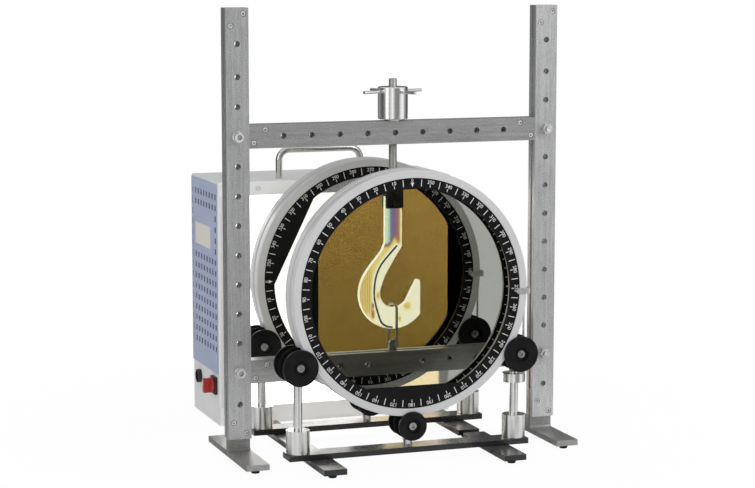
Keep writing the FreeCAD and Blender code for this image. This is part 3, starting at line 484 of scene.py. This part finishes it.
def dress(name, look, slot, bevel=0.0, centred=False):
    """Replace a CAD node by a copy with clean smooth faces, softened edges and its own finish."""
    source = NODES[name]
    mesh = source.data.copy()
    made = link(name + "_look", mesh)
    work = bmesh.new()
    work.from_mesh(mesh)
    bmesh.ops.remove_doubles(work, verts=work.verts, dist=MERGE_GAP)
    bmesh.ops.dissolve_limit(work, angle_limit=FLAT_ANGLE, use_dissolve_boundaries=False,
                             verts=work.verts, edges=work.edges)
    bmesh.ops.recalc_face_normals(work, faces=work.faces)
    if centred:
        low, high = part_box(name)
        middle = (low + high) / 2
        bmesh.ops.translate(work, verts=work.verts, vec=-middle)
        made.location = middle
    work.to_mesh(mesh)
    work.free()
    if mesh.has_custom_normals:
        mesh.attributes.remove(mesh.attributes["custom_normal"])
    mesh.shade_smooth()
    mesh.set_sharp_from_angle(angle=SMOOTH_ANGLE)
    mesh.materials.clear()
    mesh.materials.append(look)
    if bevel:
        soften(made, bevel)
    return settle(made, BODY[name], slot, name)


def soften(piece, width):
    made = piece.modifiers.new("edge", "BEVEL")
    made.width = width
    made.segments = EDGE_SEGMENTS
    made.limit_method = "ANGLE"
    made.angle_limit = EDGE_ANGLE
    made.use_clamp_overlap = True
    made.harden_normals = True


def spline(points, count):
    """Points on a smooth line through the given ones."""
    padded = [points[0] * 2 - points[1]] + list(points) + [points[-1] * 2 - points[-2]]
    made = []
    spans = len(points) - 1
    for i in range(count + 1):
        t = i / count * spans
        k = min(int(t), spans - 1)
        t -= k
        a, b, c, d = padded[k:k + 4]
        made.append(0.5 * (2 * b + (c - a) * t + (2 * a - 5 * b + 4 * c - d) * t * t
                           + (3 * b - a - 3 * c + d) * t * t * t))
    return made


# Printed scales, in millimetres from the ring's axis.
TICK_STEP = 5
NUMBER_STEP = 10
TICK_W = 1.2
TICKS_LONG = (181.5, 193.2)
TICKS_SHORT = (181.0, 185.6)
DIGITS_IN = 186.9
DIGIT_H = 6.3
CAP_SHARE = 0.7
ZERO_IN = 189.2
ZERO_SIZE = 0.85
ARROW_TIP = 180.6
ARROW_FOOT = 188.0
ARROW_HALF_W = 3.0
PRINT_GAP = 0.08
SCALE_ZERO = {"front_ring": 90, "front_wave_ring": 0, "rear_wave_ring": 180, "rear_ring": 180}


def number_shapes():
    """Flat outlines of the degree numbers, from Blender's own font, upright and centred on their foot."""
    curve = bpy.data.curves.new("number", "FONT")
    curve.align_x = "CENTER"
    curve.size = DIGIT_H / CAP_SHARE
    curve.space_character = 0.95
    curve.resolution_u = 3
    writer = link("number", curve)
    shapes = {}
    for degrees in range(0, 360, NUMBER_STEP):
        curve.body = str(degrees)
        bpy.context.view_layer.update()
        flat = writer.evaluated_get(bpy.context.evaluated_depsgraph_get()).to_mesh()
        shapes[degrees] = ([v.co.copy() for v in flat.vertices], [tuple(p.vertices) for p in flat.polygons])
        writer.to_mesh_clear()
    bpy.data.objects.remove(writer)
    return shapes


def print_scale(ring, zero, shapes, ink):
    """Ticks, a number at every second one, and an arrow at 0; numbers grow anticlockwise."""
    low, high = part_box(ring + "_scale")
    y = low.y * 1000 - PRINT_GAP
    centre = ((low.x + high.x) * 500, (low.z + high.z) * 500)
    made = bmesh.new()

    def polar(radius, across, a):
        out = Vector((math.cos(a), 0, math.sin(a)))
        side = Vector((math.sin(a), 0, -math.cos(a)))
        spot = out * radius + side * across
        return made.verts.new(Vector((centre[0] + spot.x, y, centre[1] + spot.z)) * 0.001)

    for degrees in range(0, 360, TICK_STEP):
        a = math.radians(zero + degrees)
        numbered = degrees % NUMBER_STEP == 0
        inner, outer = TICKS_SHORT if numbered else TICKS_LONG
        corners = ((inner, -TICK_W / 2), (inner, TICK_W / 2), (outer, TICK_W / 2), (outer, -TICK_W / 2))
        if degrees == 0:
            corners = ((ARROW_TIP, 0), (ARROW_FOOT, -ARROW_HALF_W), (ARROW_FOOT, ARROW_HALF_W))
        made.faces.new([polar(radius, across, a) for radius, across in corners])
        if numbered:
            points, faces = shapes[degrees]
            foot = DIGITS_IN if degrees else ZERO_IN
            size = 1.0 if degrees else ZERO_SIZE
            verts = [polar(foot + p.y * size, p.x * size, a) for p in points]
            for face in faces:
                made.faces.new([verts[i] for i in face])
    bmesh.ops.recalc_face_normals(made, faces=made.faces)
    for face in made.faces:
        if face.normal.y > 0:
            face.normal_flip()
    mesh = bpy.data.meshes.new(ring + "_marks")
    made.to_mesh(mesh)
    made.free()
    mesh.materials.append(ink)
    return settle(link(ring + "_marks", mesh), BODY[ring], "scale_black")


# Hook with its stress field, in millimetres: across, and above the middle of the bowl.
SHANK_HALF_W = 15
OUTER_NECK = [(-SHANK_HALF_W, 89), (-21.6, 73.7), (-36.7, 55.6), (-50, 38)]
INNER_NECK = [(SHANK_HALF_W, 81), (4, 64.3), (-6, 47.9), (-16.3, 29.5)]
OUTER_BOWL = (0, 0, BOWL_OUT_R)
INNER_BOWL = (2, 1, BOWL_IN_R)
OUTER_ARC = (153, 322)
INNER_ARC = (165, 340)
OUTER_TIP = [(49.2, 17), (48.2, 20), (45.9, 21)]
INNER_TIP = [(41.6, 18.6), (43.2, 20.6), (45.3, 21)]
SHANK_ROWS, NECK_ROWS, BOWL_ROWS, ARM_ROWS, TIP_ROWS = 60, 56, 150, 40, 6
HOOK_COLUMNS = 48
FACE_INSET = 0.05
HOOK_EDGE = 0.4
DARK_LINE = [(5.7, 82), (-10, 65.5), (-24, 48.5), (-32, 30), (-35.4, 7), (-34.4, -11.5), (-29.4, -31),
             (-22.4, -50), (-12.4, -58), (-3.0, -60)]
DARK_LINE_SPANS = 54
LINE_HALF_W = 2.0
# Share of the way across the shank, and order there.
SHANK = [(0.0, 1.55), (0.07, 1.40), (0.24, 1.25), (0.34, 1.03), (0.60, 0.96), (0.76, 0.90), (0.86, 0.70),
         (1.0, 0.36)]
# Patches: across, rise, half width, half height, added order.
SPOTS = [(-28.0, -3.0, 5.0, 7.0, 0.30), (25.0, -24.0, 9.0, 8.0, 0.27), (11.5, -46.0, 3.0, 6.0, 0.32),
         (-38.0, -36.0, 2.6, 8.0, 0.42), (-37.5, -20.0, 1.8, 3.5, 0.72)]
OUTER_ORDER, OUTER_GAIN, OUTER_REACH = 0.37, 0.21, 8.0
INNER_ORDER, INNER_DROP, INNER_REACH = 0.41, 0.03, 10.0
GAIN_FROM, GAIN_OVER = -62, 40
NECK_RISE, NECK_PEAK, NECK_PEAK_X, NECK_PEAK_W = 84.0, 13.0, 2.0, 6.0
NECK_BLEND = 14.0
OUTLINE_W = 0.8
EDGE_ORDER = 0.37
BANDS_RIGHT, BANDS_LOW, BANDS_TOP = -38.0, -48.0, 66.0
BANDS_FADE_X, BANDS_FADE_Z, BANDS_EDGE = 6.0, 24.0, 2.5


def ease(t):
    t = min(max(t, 0.0), 1.0)
    return t * t * (3 - 2 * t)


def between(stops, spot):
    for (a, low), (b, high) in zip(stops, stops[1:]):
        if spot <= b:
            return low + (high - low) * ease((spot - a) / (b - a))
    return stops[-1][1]


def beside_line(points, x, rise):
    """Distance from the dark line, positive on the outer side."""
    best, sign = math.inf, 1.0
    for a, b in zip(points, points[1:]):
        along_x, along_z = b.x - a.x, b.z - a.z
        t = ((x - a.x) * along_x + (rise - a.z) * along_z) / (along_x * along_x + along_z * along_z)
        t = min(max(t, 0.0), 1.0)
        off_x, off_z = x - a.x - t * along_x, rise - a.z - t * along_z
        gap = math.hypot(off_x, off_z)
        if gap < best:
            best, sign = gap, 1.0 if along_x * off_z - along_z * off_x < 0 else -1.0
    return best * sign


def stress_at(points, x, rise, across, width):
    """Order of the interference colour; the neck blends the shank into the curved arm."""
    beside = beside_line(points, x, rise)
    if beside > 0:
        arm = OUTER_ORDER + OUTER_GAIN * ease(beside / OUTER_REACH) * ease((rise - GAIN_FROM) / GAIN_OVER)
    else:
        arm = INNER_ORDER - INNER_DROP * ease(-beside / INNER_REACH)
    for spot_x, spot_z, half_w, half_h, added in SPOTS:
        arm += added * math.exp(-((x - spot_x) / half_w) ** 2 - ((rise - spot_z) / half_h) ** 2)
    neck = NECK_RISE + NECK_PEAK * math.exp(-((x - NECK_PEAK_X) / NECK_PEAK_W) ** 2)
    order = arm + (between(SHANK, across) - arm) * ease((rise - neck) / NECK_BLEND + 0.5)
    order *= 1.0 - math.exp(-(beside / LINE_HALF_W) ** 2)
    edge = min(across, 1.0 - across) * width
    return order + (EDGE_ORDER - order) * ease(1.0 - edge / OUTLINE_W)


def banding_at(x, rise, across, width):
    """Strength of the thin gold lines in the bowl's outer side, fading out at the hook's edges."""
    sideways = ease((BANDS_RIGHT - x) / BANDS_FADE_X)
    upright = ease((rise - BANDS_LOW) / BANDS_FADE_Z) * ease((BANDS_TOP - rise) / BANDS_FADE_Z)
    return sideways * upright * ease(min(across, 1.0 - across) * width / BANDS_EDGE)


def hook_edge(neck, bowl, arc, tip):
    """Points down one edge of the hook: shank, neck, bowl, arm and tip."""
    def at(x, rise):
        return Vector((x, 0, BOWL_Z + rise))

    def round_bowl(degrees):
        x, rise, radius = bowl
        a = math.radians(degrees)
        return at(x + radius * math.cos(a), rise + radius * math.sin(a))

    def run(first, last, count):
        return [first.lerp(last, i / count) for i in range(count)]

    start, end = arc
    points = run(at(neck[0][0], HOOK_TOP_Z - BOWL_Z), at(*neck[0]), SHANK_ROWS)
    points += spline([at(*spot) for spot in neck] + [round_bowl(start)], NECK_ROWS)[:-1]
    points += [round_bowl(start + (end - start) * i / BOWL_ROWS) for i in range(BOWL_ROWS)]
    points += run(round_bowl(end), at(*tip[0]), ARM_ROWS)
    return points + spline([at(*spot) for spot in tip], TIP_ROWS)


def hook_piece(look):
    """The hook as a fine grid that carries the stress and the banding at every point."""
    outer = hook_edge(OUTER_NECK, OUTER_BOWL, OUTER_ARC, OUTER_TIP)
    inner = hook_edge(INNER_NECK, INNER_BOWL, INNER_ARC, INNER_TIP)
    line = spline([Vector((x, 0, rise)) for x, rise in DARK_LINE], DARK_LINE_SPANS)
    made = bmesh.new()
    stress = made.verts.layers.float.new("stress")
    banding = made.verts.layers.float.new("banding")
    sheets = []
    for y in (FACE_INSET - HOOK_T / 2, HOOK_T / 2 - FACE_INSET):
        grid = []
        for a, b in zip(outer, inner):
            row = []
            width = (b - a).length
            for j in range(HOOK_COLUMNS + 1):
                across = j / HOOK_COLUMNS
                spot = a.lerp(b, across)
                rise = spot.z - BOWL_Z
                vert = made.verts.new(place(spot.x, y, spot.z))
                vert[stress] = stress_at(line, spot.x, rise, across, width)
                vert[banding] = banding_at(spot.x, rise, across, width)
                row.append(vert)
            grid.append(row)
        sheets.append(grid)
    front, rear = sheets
    last = len(outer) - 1
    for i in range(last):
        for j in range(HOOK_COLUMNS):
            made.faces.new((front[i][j], front[i + 1][j], front[i + 1][j + 1], front[i][j + 1]))
            made.faces.new((rear[i][j], rear[i][j + 1], rear[i + 1][j + 1], rear[i + 1][j]))
        for j in (0, HOOK_COLUMNS):
            made.faces.new((front[i][j], rear[i][j], rear[i + 1][j], front[i + 1][j]))
    for i in (0, last):
        for j in range(HOOK_COLUMNS):
            made.faces.new((front[i][j], front[i][j + 1], rear[i][j + 1], rear[i][j]))
    bmesh.ops.recalc_face_normals(made, faces=made.faces)
    mesh = bpy.data.meshes.new("hook_look")
    made.to_mesh(mesh)
    made.free()
    mesh.shade_smooth()
    mesh.set_sharp_from_angle(angle=EDGE_ANGLE)
    mesh.materials.append(look)
    piece = link("hook_look", mesh)
    soften(piece, HOOK_EDGE * 0.001)
    return settle(piece, BODY["hook_model"], "hook_clear", "hook_model")


# Finishes for every CAD node.
LOOKS = {
    # The uprights carry painted light, brighter towards their right end.
    "bar_steel": brushed("bar_steel", (0.64, 0.645, 0.65, 1.0), 2, painted_light_gain=1.12, metal=0.78),
    "beam_steel": brushed("beam_steel", grey(0.54), 0),
    "spacer_steel": brushed("spacer_steel", grey(0.48), 0, (0.35, 0.5)),
    "foot_steel": brushed("foot_steel", (0.40, 0.40, 0.395, 1.0), 1, (0.34, 0.48)),
    # Screws and axles carry painted shade on their flanks, set by the last factor.
    "screw": faced_metal("screw", (0.96, 0.96, 0.95, 1.0), (0.2, 0.34), 0.35, 0.55, 0.3),
    "axle": faced_metal("axle", (0.52, 0.52, 0.50, 1.0), (0.2, 0.4), 0.8, 0.3, 0.3),
    "dark_screw": faced_metal("dark_screw", (0.16, 0.16, 0.15, 1.0), (0.3, 0.45)),
    "hub": turned_metal("hub", (0.86, 0.86, 0.85, 1.0), (0.14, 0.2)),
    "thread": threaded("thread", (0.50, 0.50, 0.49, 1.0)),
    "polished": turned_metal("polished", (0.80, 0.80, 0.79, 1.0)),
    "chrome": faced_metal("chrome", (0.60, 0.60, 0.59, 1.0), (0.08, 0.16), 1.0, 0.94),
    "strip": faced_metal("strip", (0.80, 0.79, 0.77, 1.0), (0.25, 0.4), 0.8),
    "wire": faced_metal("wire", (0.62, 0.60, 0.50, 1.0), (0.25, 0.4), 0.7),
    "bars_black": black_bar("bars_black"),
    "rubber": coated("rubber", grey(0.015), (0.7, 0.85), 900.0, 0.00005, 0.1, 0.15),
    "clamp": coated("clamp", (0.026, 0.026, 0.024, 1.0), (0.42, 0.55), 1200.0, 0.00003, 0.12, 0.05),
    "roller": turned_plastic("roller"),
    "ring": coated("ring", (0.60, 0.60, 0.605, 1.0), (0.34, 0.46), 1600.0, 0.00002, 0.04, 0.02),
    "scale": coated("scale", (0.006, 0.006, 0.007, 1.0), (0.4, 0.5), 1500.0, 0.00001, 0.15, 0.02, gleam=0.15),
    "ink": printed("ink", grey(0.84)),
    # The box carries painted light: its faces towards the viewer are paler.
    "box": coated("box", (0.72, 0.725, 0.73, 1.0), (0.4, 0.52), 800.0, 0.00004, 0.03, 0.02, front=1.28),
    "panel": coated("panel", (0.38, 0.437, 0.59, 1.0), (0.42, 0.55), 900.0, 0.00003, 0.04, 0.02),
    # Painted shade: the baffle's dark blue stands for the shade inside the box seen through the vent holes.
    "baffle": coated("baffle", (0.05, 0.065, 0.15, 1.0), (0.6, 0.75), 700.0, 0.00003, 0.12),
    "label": coated("label", (0.72, 0.70, 0.64, 1.0), (0.35, 0.45), 1000.0, 0.00001, 0.03, 0.03),
    "red": coated("red", (0.42, 0.022, 0.018, 1.0), (0.28, 0.4), 900.0, 0.00002, 0.08, 0.02, 0.2),
    "socket_black": coated("socket_black", (0.02, 0.012, 0.011, 1.0), (0.35, 0.5), 900.0, 0.00003, 0.15,
                           0.05),
    "lamp": coated("lamp", (0.86, 0.86, 0.84, 1.0), (0.1, 0.2), 300.0, 0.00001, 0.02),
    "holder": coated("holder", (0.75, 0.75, 0.72, 1.0), (0.4, 0.5), 700.0, 0.00003, 0.05),
    "ballast": coated("ballast", (0.42, 0.43, 0.45, 1.0), (0.45, 0.6), 700.0, 0.00004, 0.08),
    "opal": opal_sheet("opal"),
    "filter_front": filter_glass("filter_front", FRONT_PASS, False),
    "filter_front_wave": filter_glass("filter_front_wave", FRONT_PASS, True),
    "filter_rear": filter_glass("filter_rear", REAR_PASS, False),
    "filter_rear_wave": filter_glass("filter_rear_wave", REAR_PASS, True),
    "hook": stressed_clear("hook"),
}
# For each node: its finish, its edge softening in millimetres, and whether it is drawn about its own centre.
DRESS = {
    "upright_plates": ("bar_steel", 0.8, False),
    "spacer_blocks": ("spacer_steel", 0.2, False),
    "foot_posts": ("foot_steel", 0.5, False),
    "foot_bars": ("bars_black", 0.6, False),
    "foot_pads": ("rubber", 0.3, False),
    "upper_beam_plates": ("beam_steel", 0.8, False),
    "lower_beam_plates": ("beam_steel", 0.8, False),
    "plate_screws": ("screw", 0.3, False),
    "beam_fasteners": ("screw", 0.4, False),
    "spindle": ("thread", 0.0, False),
    "capstan_hub": ("hub", 0.3, True),
    "capstan_rods": ("chrome", 0.4, True),
    "hook_clamp": ("clamp", 0.3, True),
    "clamp_screws": ("dark_screw", 0.3, False),
    "shackle": ("wire", 0.0, True),
    "anchor_tongue": ("wire", 0.4, True),
    "anchor_pins": ("wire", 0.3, False),
    "base_bars": ("bars_black", 0.6, False),
    "post_sockets": ("polished", 0.5, False),
    "roller_posts": ("polished", 0.3, False),
    "post_collars": ("polished", 0.5, False),
    "roller_axles": ("axle", 0.9, False),
    "pointers": ("strip", 0.15, False),
    "box_housing": ("box", 0.8, True),
    "box_diffuser": ("opal", 0.0, True),
    "box_rear_cover": ("box", 0.6, True),
    "box_label_plate": ("label", 0.15, True),
    "box_lamps": ("lamp", 0.5, False),
    "box_lamp_holders": ("holder", 0.6, False),
    "box_ballast": ("ballast", 1.0, True),
    "box_handle": ("chrome", 0.0, True),
    "box_switch_plate": ("socket_black", 0.5, True),
    "box_switch_knob": ("red", 0.5, True),
    "box_inlet": ("socket_black", 0.4, True),
}


# Edge softening in metres, and how far behind the panel's face the baffle lies, in millimetres.
ROLLER_EDGE = 0.0005
RING_EDGE = 0.0003
BAFFLE_DEPTH = 2.0
# Pale strip on the switch knob, a painted highlight down its middle, in metres: its thickness, breadth and
# length, and its places on the grip.
KNOB_HIGHLIGHT = (0.0004, 0.0022, 0.011)
KNOB_HIGHLIGHT_RISE = 0.0066
KNOB_HIGHLIGHT_SUNK = 0.0001


def dress_rings(slots):
    shapes = number_shapes()
    for ring, zero in SCALE_ZERO.items():
        glass = "filter_" + ring.replace("_ring", "")
        for name, look, bevel in ((ring, "ring", RING_EDGE), (ring + "_scale", "scale", 0.0),
                                  (ring + "_filter", glass, 0.0)):
            dress(name, LOOKS[look], slots[name], bevel, True)
        print_scale(ring, zero, shapes, LOOKS["ink"])


def side_panel(slots):
    """The perforated panel; its baffle sheet behind the holes is painted dark blue, as painted shade for the
    box's inside seen through the holes.
    """
    panel = dress("box_side_panel", LOOKS["panel"], slots["box_side_panel"])
    panel.data.materials.append(LOOKS["baffle"])
    inside = (BOX_X0 + BAFFLE_DEPTH) * 0.001
    for face in panel.data.polygons:
        face.material_index = 1 if face.center.x > inside else 0


def knob_mark(look):
    """Raised pale strip on the knob's grip: a painted highlight."""
    low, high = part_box("box_switch_knob")
    middle = (low + high) / 2
    made = bmesh.new()
    bmesh.ops.create_cube(made, size=1.0)
    bmesh.ops.scale(made, verts=made.verts, vec=KNOB_HIGHLIGHT)
    bmesh.ops.translate(made, verts=made.verts, vec=(0.0, 0.0, KNOB_HIGHLIGHT_RISE))
    mesh = bpy.data.meshes.new("knob_mark")
    made.to_mesh(mesh)
    made.free()
    mesh.materials.append(look)
    piece = link("knob_mark", mesh)
    piece.location = (low.x + KNOB_HIGHLIGHT_SUNK, middle.y, middle.z)
    settle(piece, BODY["box_switch_knob"], "label_cream")


def dress_all():
    slots = {part["node"]: part["material_slot"] for part in frame["record"]["subparts"]}
    for name, (look, bevel, centred) in DRESS.items():
        dress(name, LOOKS[look], slots[name], bevel * 0.001, centred)
    for name in NODES:
        if name.endswith("_roller"):
            dress(name, LOOKS["roller"], slots[name], ROLLER_EDGE, True)
    dress_rings(slots)
    side_panel(slots)
    hook_piece(LOOKS["hook"])
    knob_mark(LOOKS["label"])


# Floor, light and camera, in metres and degrees.
FLOOR_HALF = 14.0
FLOOR_Z = -0.0002
SHADOW_OUT = (0.45, 1.1)
SHADOW_KEPT = 0.965
TABLE_OUT = (0.5, 0.8)


def white_floor():
    """Pale floor that keeps the shadow; shiny things see it only near the object, as a white table top."""
    made, tree = material("floor")
    grain = noise(tree, coordinates(tree), 3.0, 2.0)
    dull = node(tree, "BsdfDiffuse", Color=ramp(tree, grain, [(0.3, 0.86), (0.7, 0.88)]))
    glow = node(tree, "Emission", Color=grey(1.0), Strength=1.0)
    path = node(tree, "LightPath")
    away = node(tree, "VectorMath", {"operation": "LENGTH"}, _0=coordinates(tree)).outputs["Value"]
    white = remap(tree, away, *SHADOW_OUT, SHADOW_KEPT, 1.0)
    lit = maths(tree, "MULTIPLY", path.outputs["Is Camera Ray"], white)
    seen = shader_mix(tree, lit, dull.outputs[0], glow.outputs[0])
    beyond = remap(tree, away, *TABLE_OUT, 0.0, 1.0)
    gone = maths(tree, "MULTIPLY", beyond, path.outputs["Is Glossy Ray"])
    open_air = node(tree, "BsdfTransparent")
    finish(tree, shader_mix(tree, gone, seen, open_air.outputs[0]))
    mesh = bpy.data.meshes.new("floor")
    corners = [(-FLOOR_HALF, -FLOOR_HALF, 0), (FLOOR_HALF, -FLOOR_HALF, 0),
               (FLOOR_HALF, FLOOR_HALF, 0), (-FLOOR_HALF, FLOOR_HALF, 0)]
    mesh.from_pydata(corners, [], [(0, 1, 2, 3)])
    mesh.materials.append(made)
    floor = link("floor", mesh)
    floor.location.z = FLOOR_Z


# Studio seen in shiny metal: degrees from straight in front of the object to its right, and brightness.
STUDIO = [(-180, 0.10), (-150, 0.32), (-112, 0.10), (-92, 0.08), (-76, 0.55), (-66, 0.95), (-57, 0.80),
          (-48, 0.36), (-41, 0.60), (-34, 0.70), (-22, 1.10), (-14, 0.75), (0, 0.28), (18, 0.24), (30, 0.26),
          (42, 0.70), (52, 1.0), (68, 0.95), (84, 0.38), (110, 0.10), (180, 0.10)]
OVERHEAD_FROM, OVERHEAD_FULL = 0.45, 0.8
OVERHEAD_LEVEL = 0.85
SOFT_LEVEL = 0.74


def studio_world():
    """White behind the object; seen in metal, a studio with bright panels and dark gaps between them."""
    world = bpy.data.worlds.new("studio")
    bpy.context.scene.world = world
    world.use_nodes = True
    tree = world.node_tree
    tree.nodes.clear()
    split = node(tree, "SeparateXYZ", Vector=node(tree, "TexCoord").outputs["Generated"])
    x, y, z = (split.outputs[i] for i in range(3))
    azimuth = maths(tree, "ARCTAN2", x, maths(tree, "MULTIPLY", y, -1.0))
    turn = maths(tree, "MULTIPLY_ADD", azimuth, 0.5 / math.pi, 0.5)
    around = ramp(tree, turn, [(degrees / 360 + 0.5, level) for degrees, level in STUDIO])
    above = remap(tree, z, OVERHEAD_FROM, OVERHEAD_FULL, 0.0, 1.0)
    panels = colour_mix(tree, above, around, grey(OVERHEAD_LEVEL))
    path = node(tree, "LightPath")
    shiny = node(tree, "Background", Color=panels, Strength=1.0)
    soft = node(tree, "Background", Color=grey(1.0), Strength=SOFT_LEVEL)
    white = node(tree, "Background", Color=grey(1.0), Strength=1.0)
    lighting = shader_mix(tree, path.outputs["Is Glossy Ray"], soft.outputs[0], shiny.outputs[0])
    direct = maths(tree, "MAXIMUM", path.outputs["Is Camera Ray"], path.outputs["Is Transmission Ray"])
    node(tree, "OutputWorld", Surface=shader_mix(tree, direct, lighting, white.outputs[0]))


def softbox(name, spot, aim, size, power):
    lamp = bpy.data.lights.new(name, "AREA")
    lamp.shape = "RECTANGLE"
    lamp.size, lamp.size_y = size
    lamp.energy = power
    made = link(name, lamp)
    made.location = Vector(spot)
    made.rotation_euler = (Vector(aim) - Vector(spot)).to_track_quat("-Z", "Y").to_euler()


CAMERA_SPOT = (-1.26999, -3.62733, 0.85759)
CAMERA_DIP = 7.596
CAMERA_TURN = 19.452
LENS = 104.0
SENSOR_W = 36.0


def camera():
    data = bpy.data.cameras.new("camera")
    data.lens = LENS
    data.sensor_width = SENSOR_W
    data.sensor_fit = "HORIZONTAL"
    data.clip_start, data.clip_end = 0.05, 60.0
    made = link("camera", data)
    made.location = CAMERA_SPOT
    made.rotation_euler = (math.radians(90 - CAMERA_DIP), 0.0, math.radians(-CAMERA_TURN))
    bpy.context.scene.camera = made


bpy.context.scene.view_settings.view_transform = "Standard"
camera()
white_floor()
studio_world()
softbox("key", (1.6, -1.9, 1.9), (0.1, 0.0, 0.3), (1.4, 1.2), 18.0)
softbox("fill", (-2.2, -1.2, 1.3), (-0.1, 0.0, 0.3), (1.2, 1.6), 9.0)
dress_all()
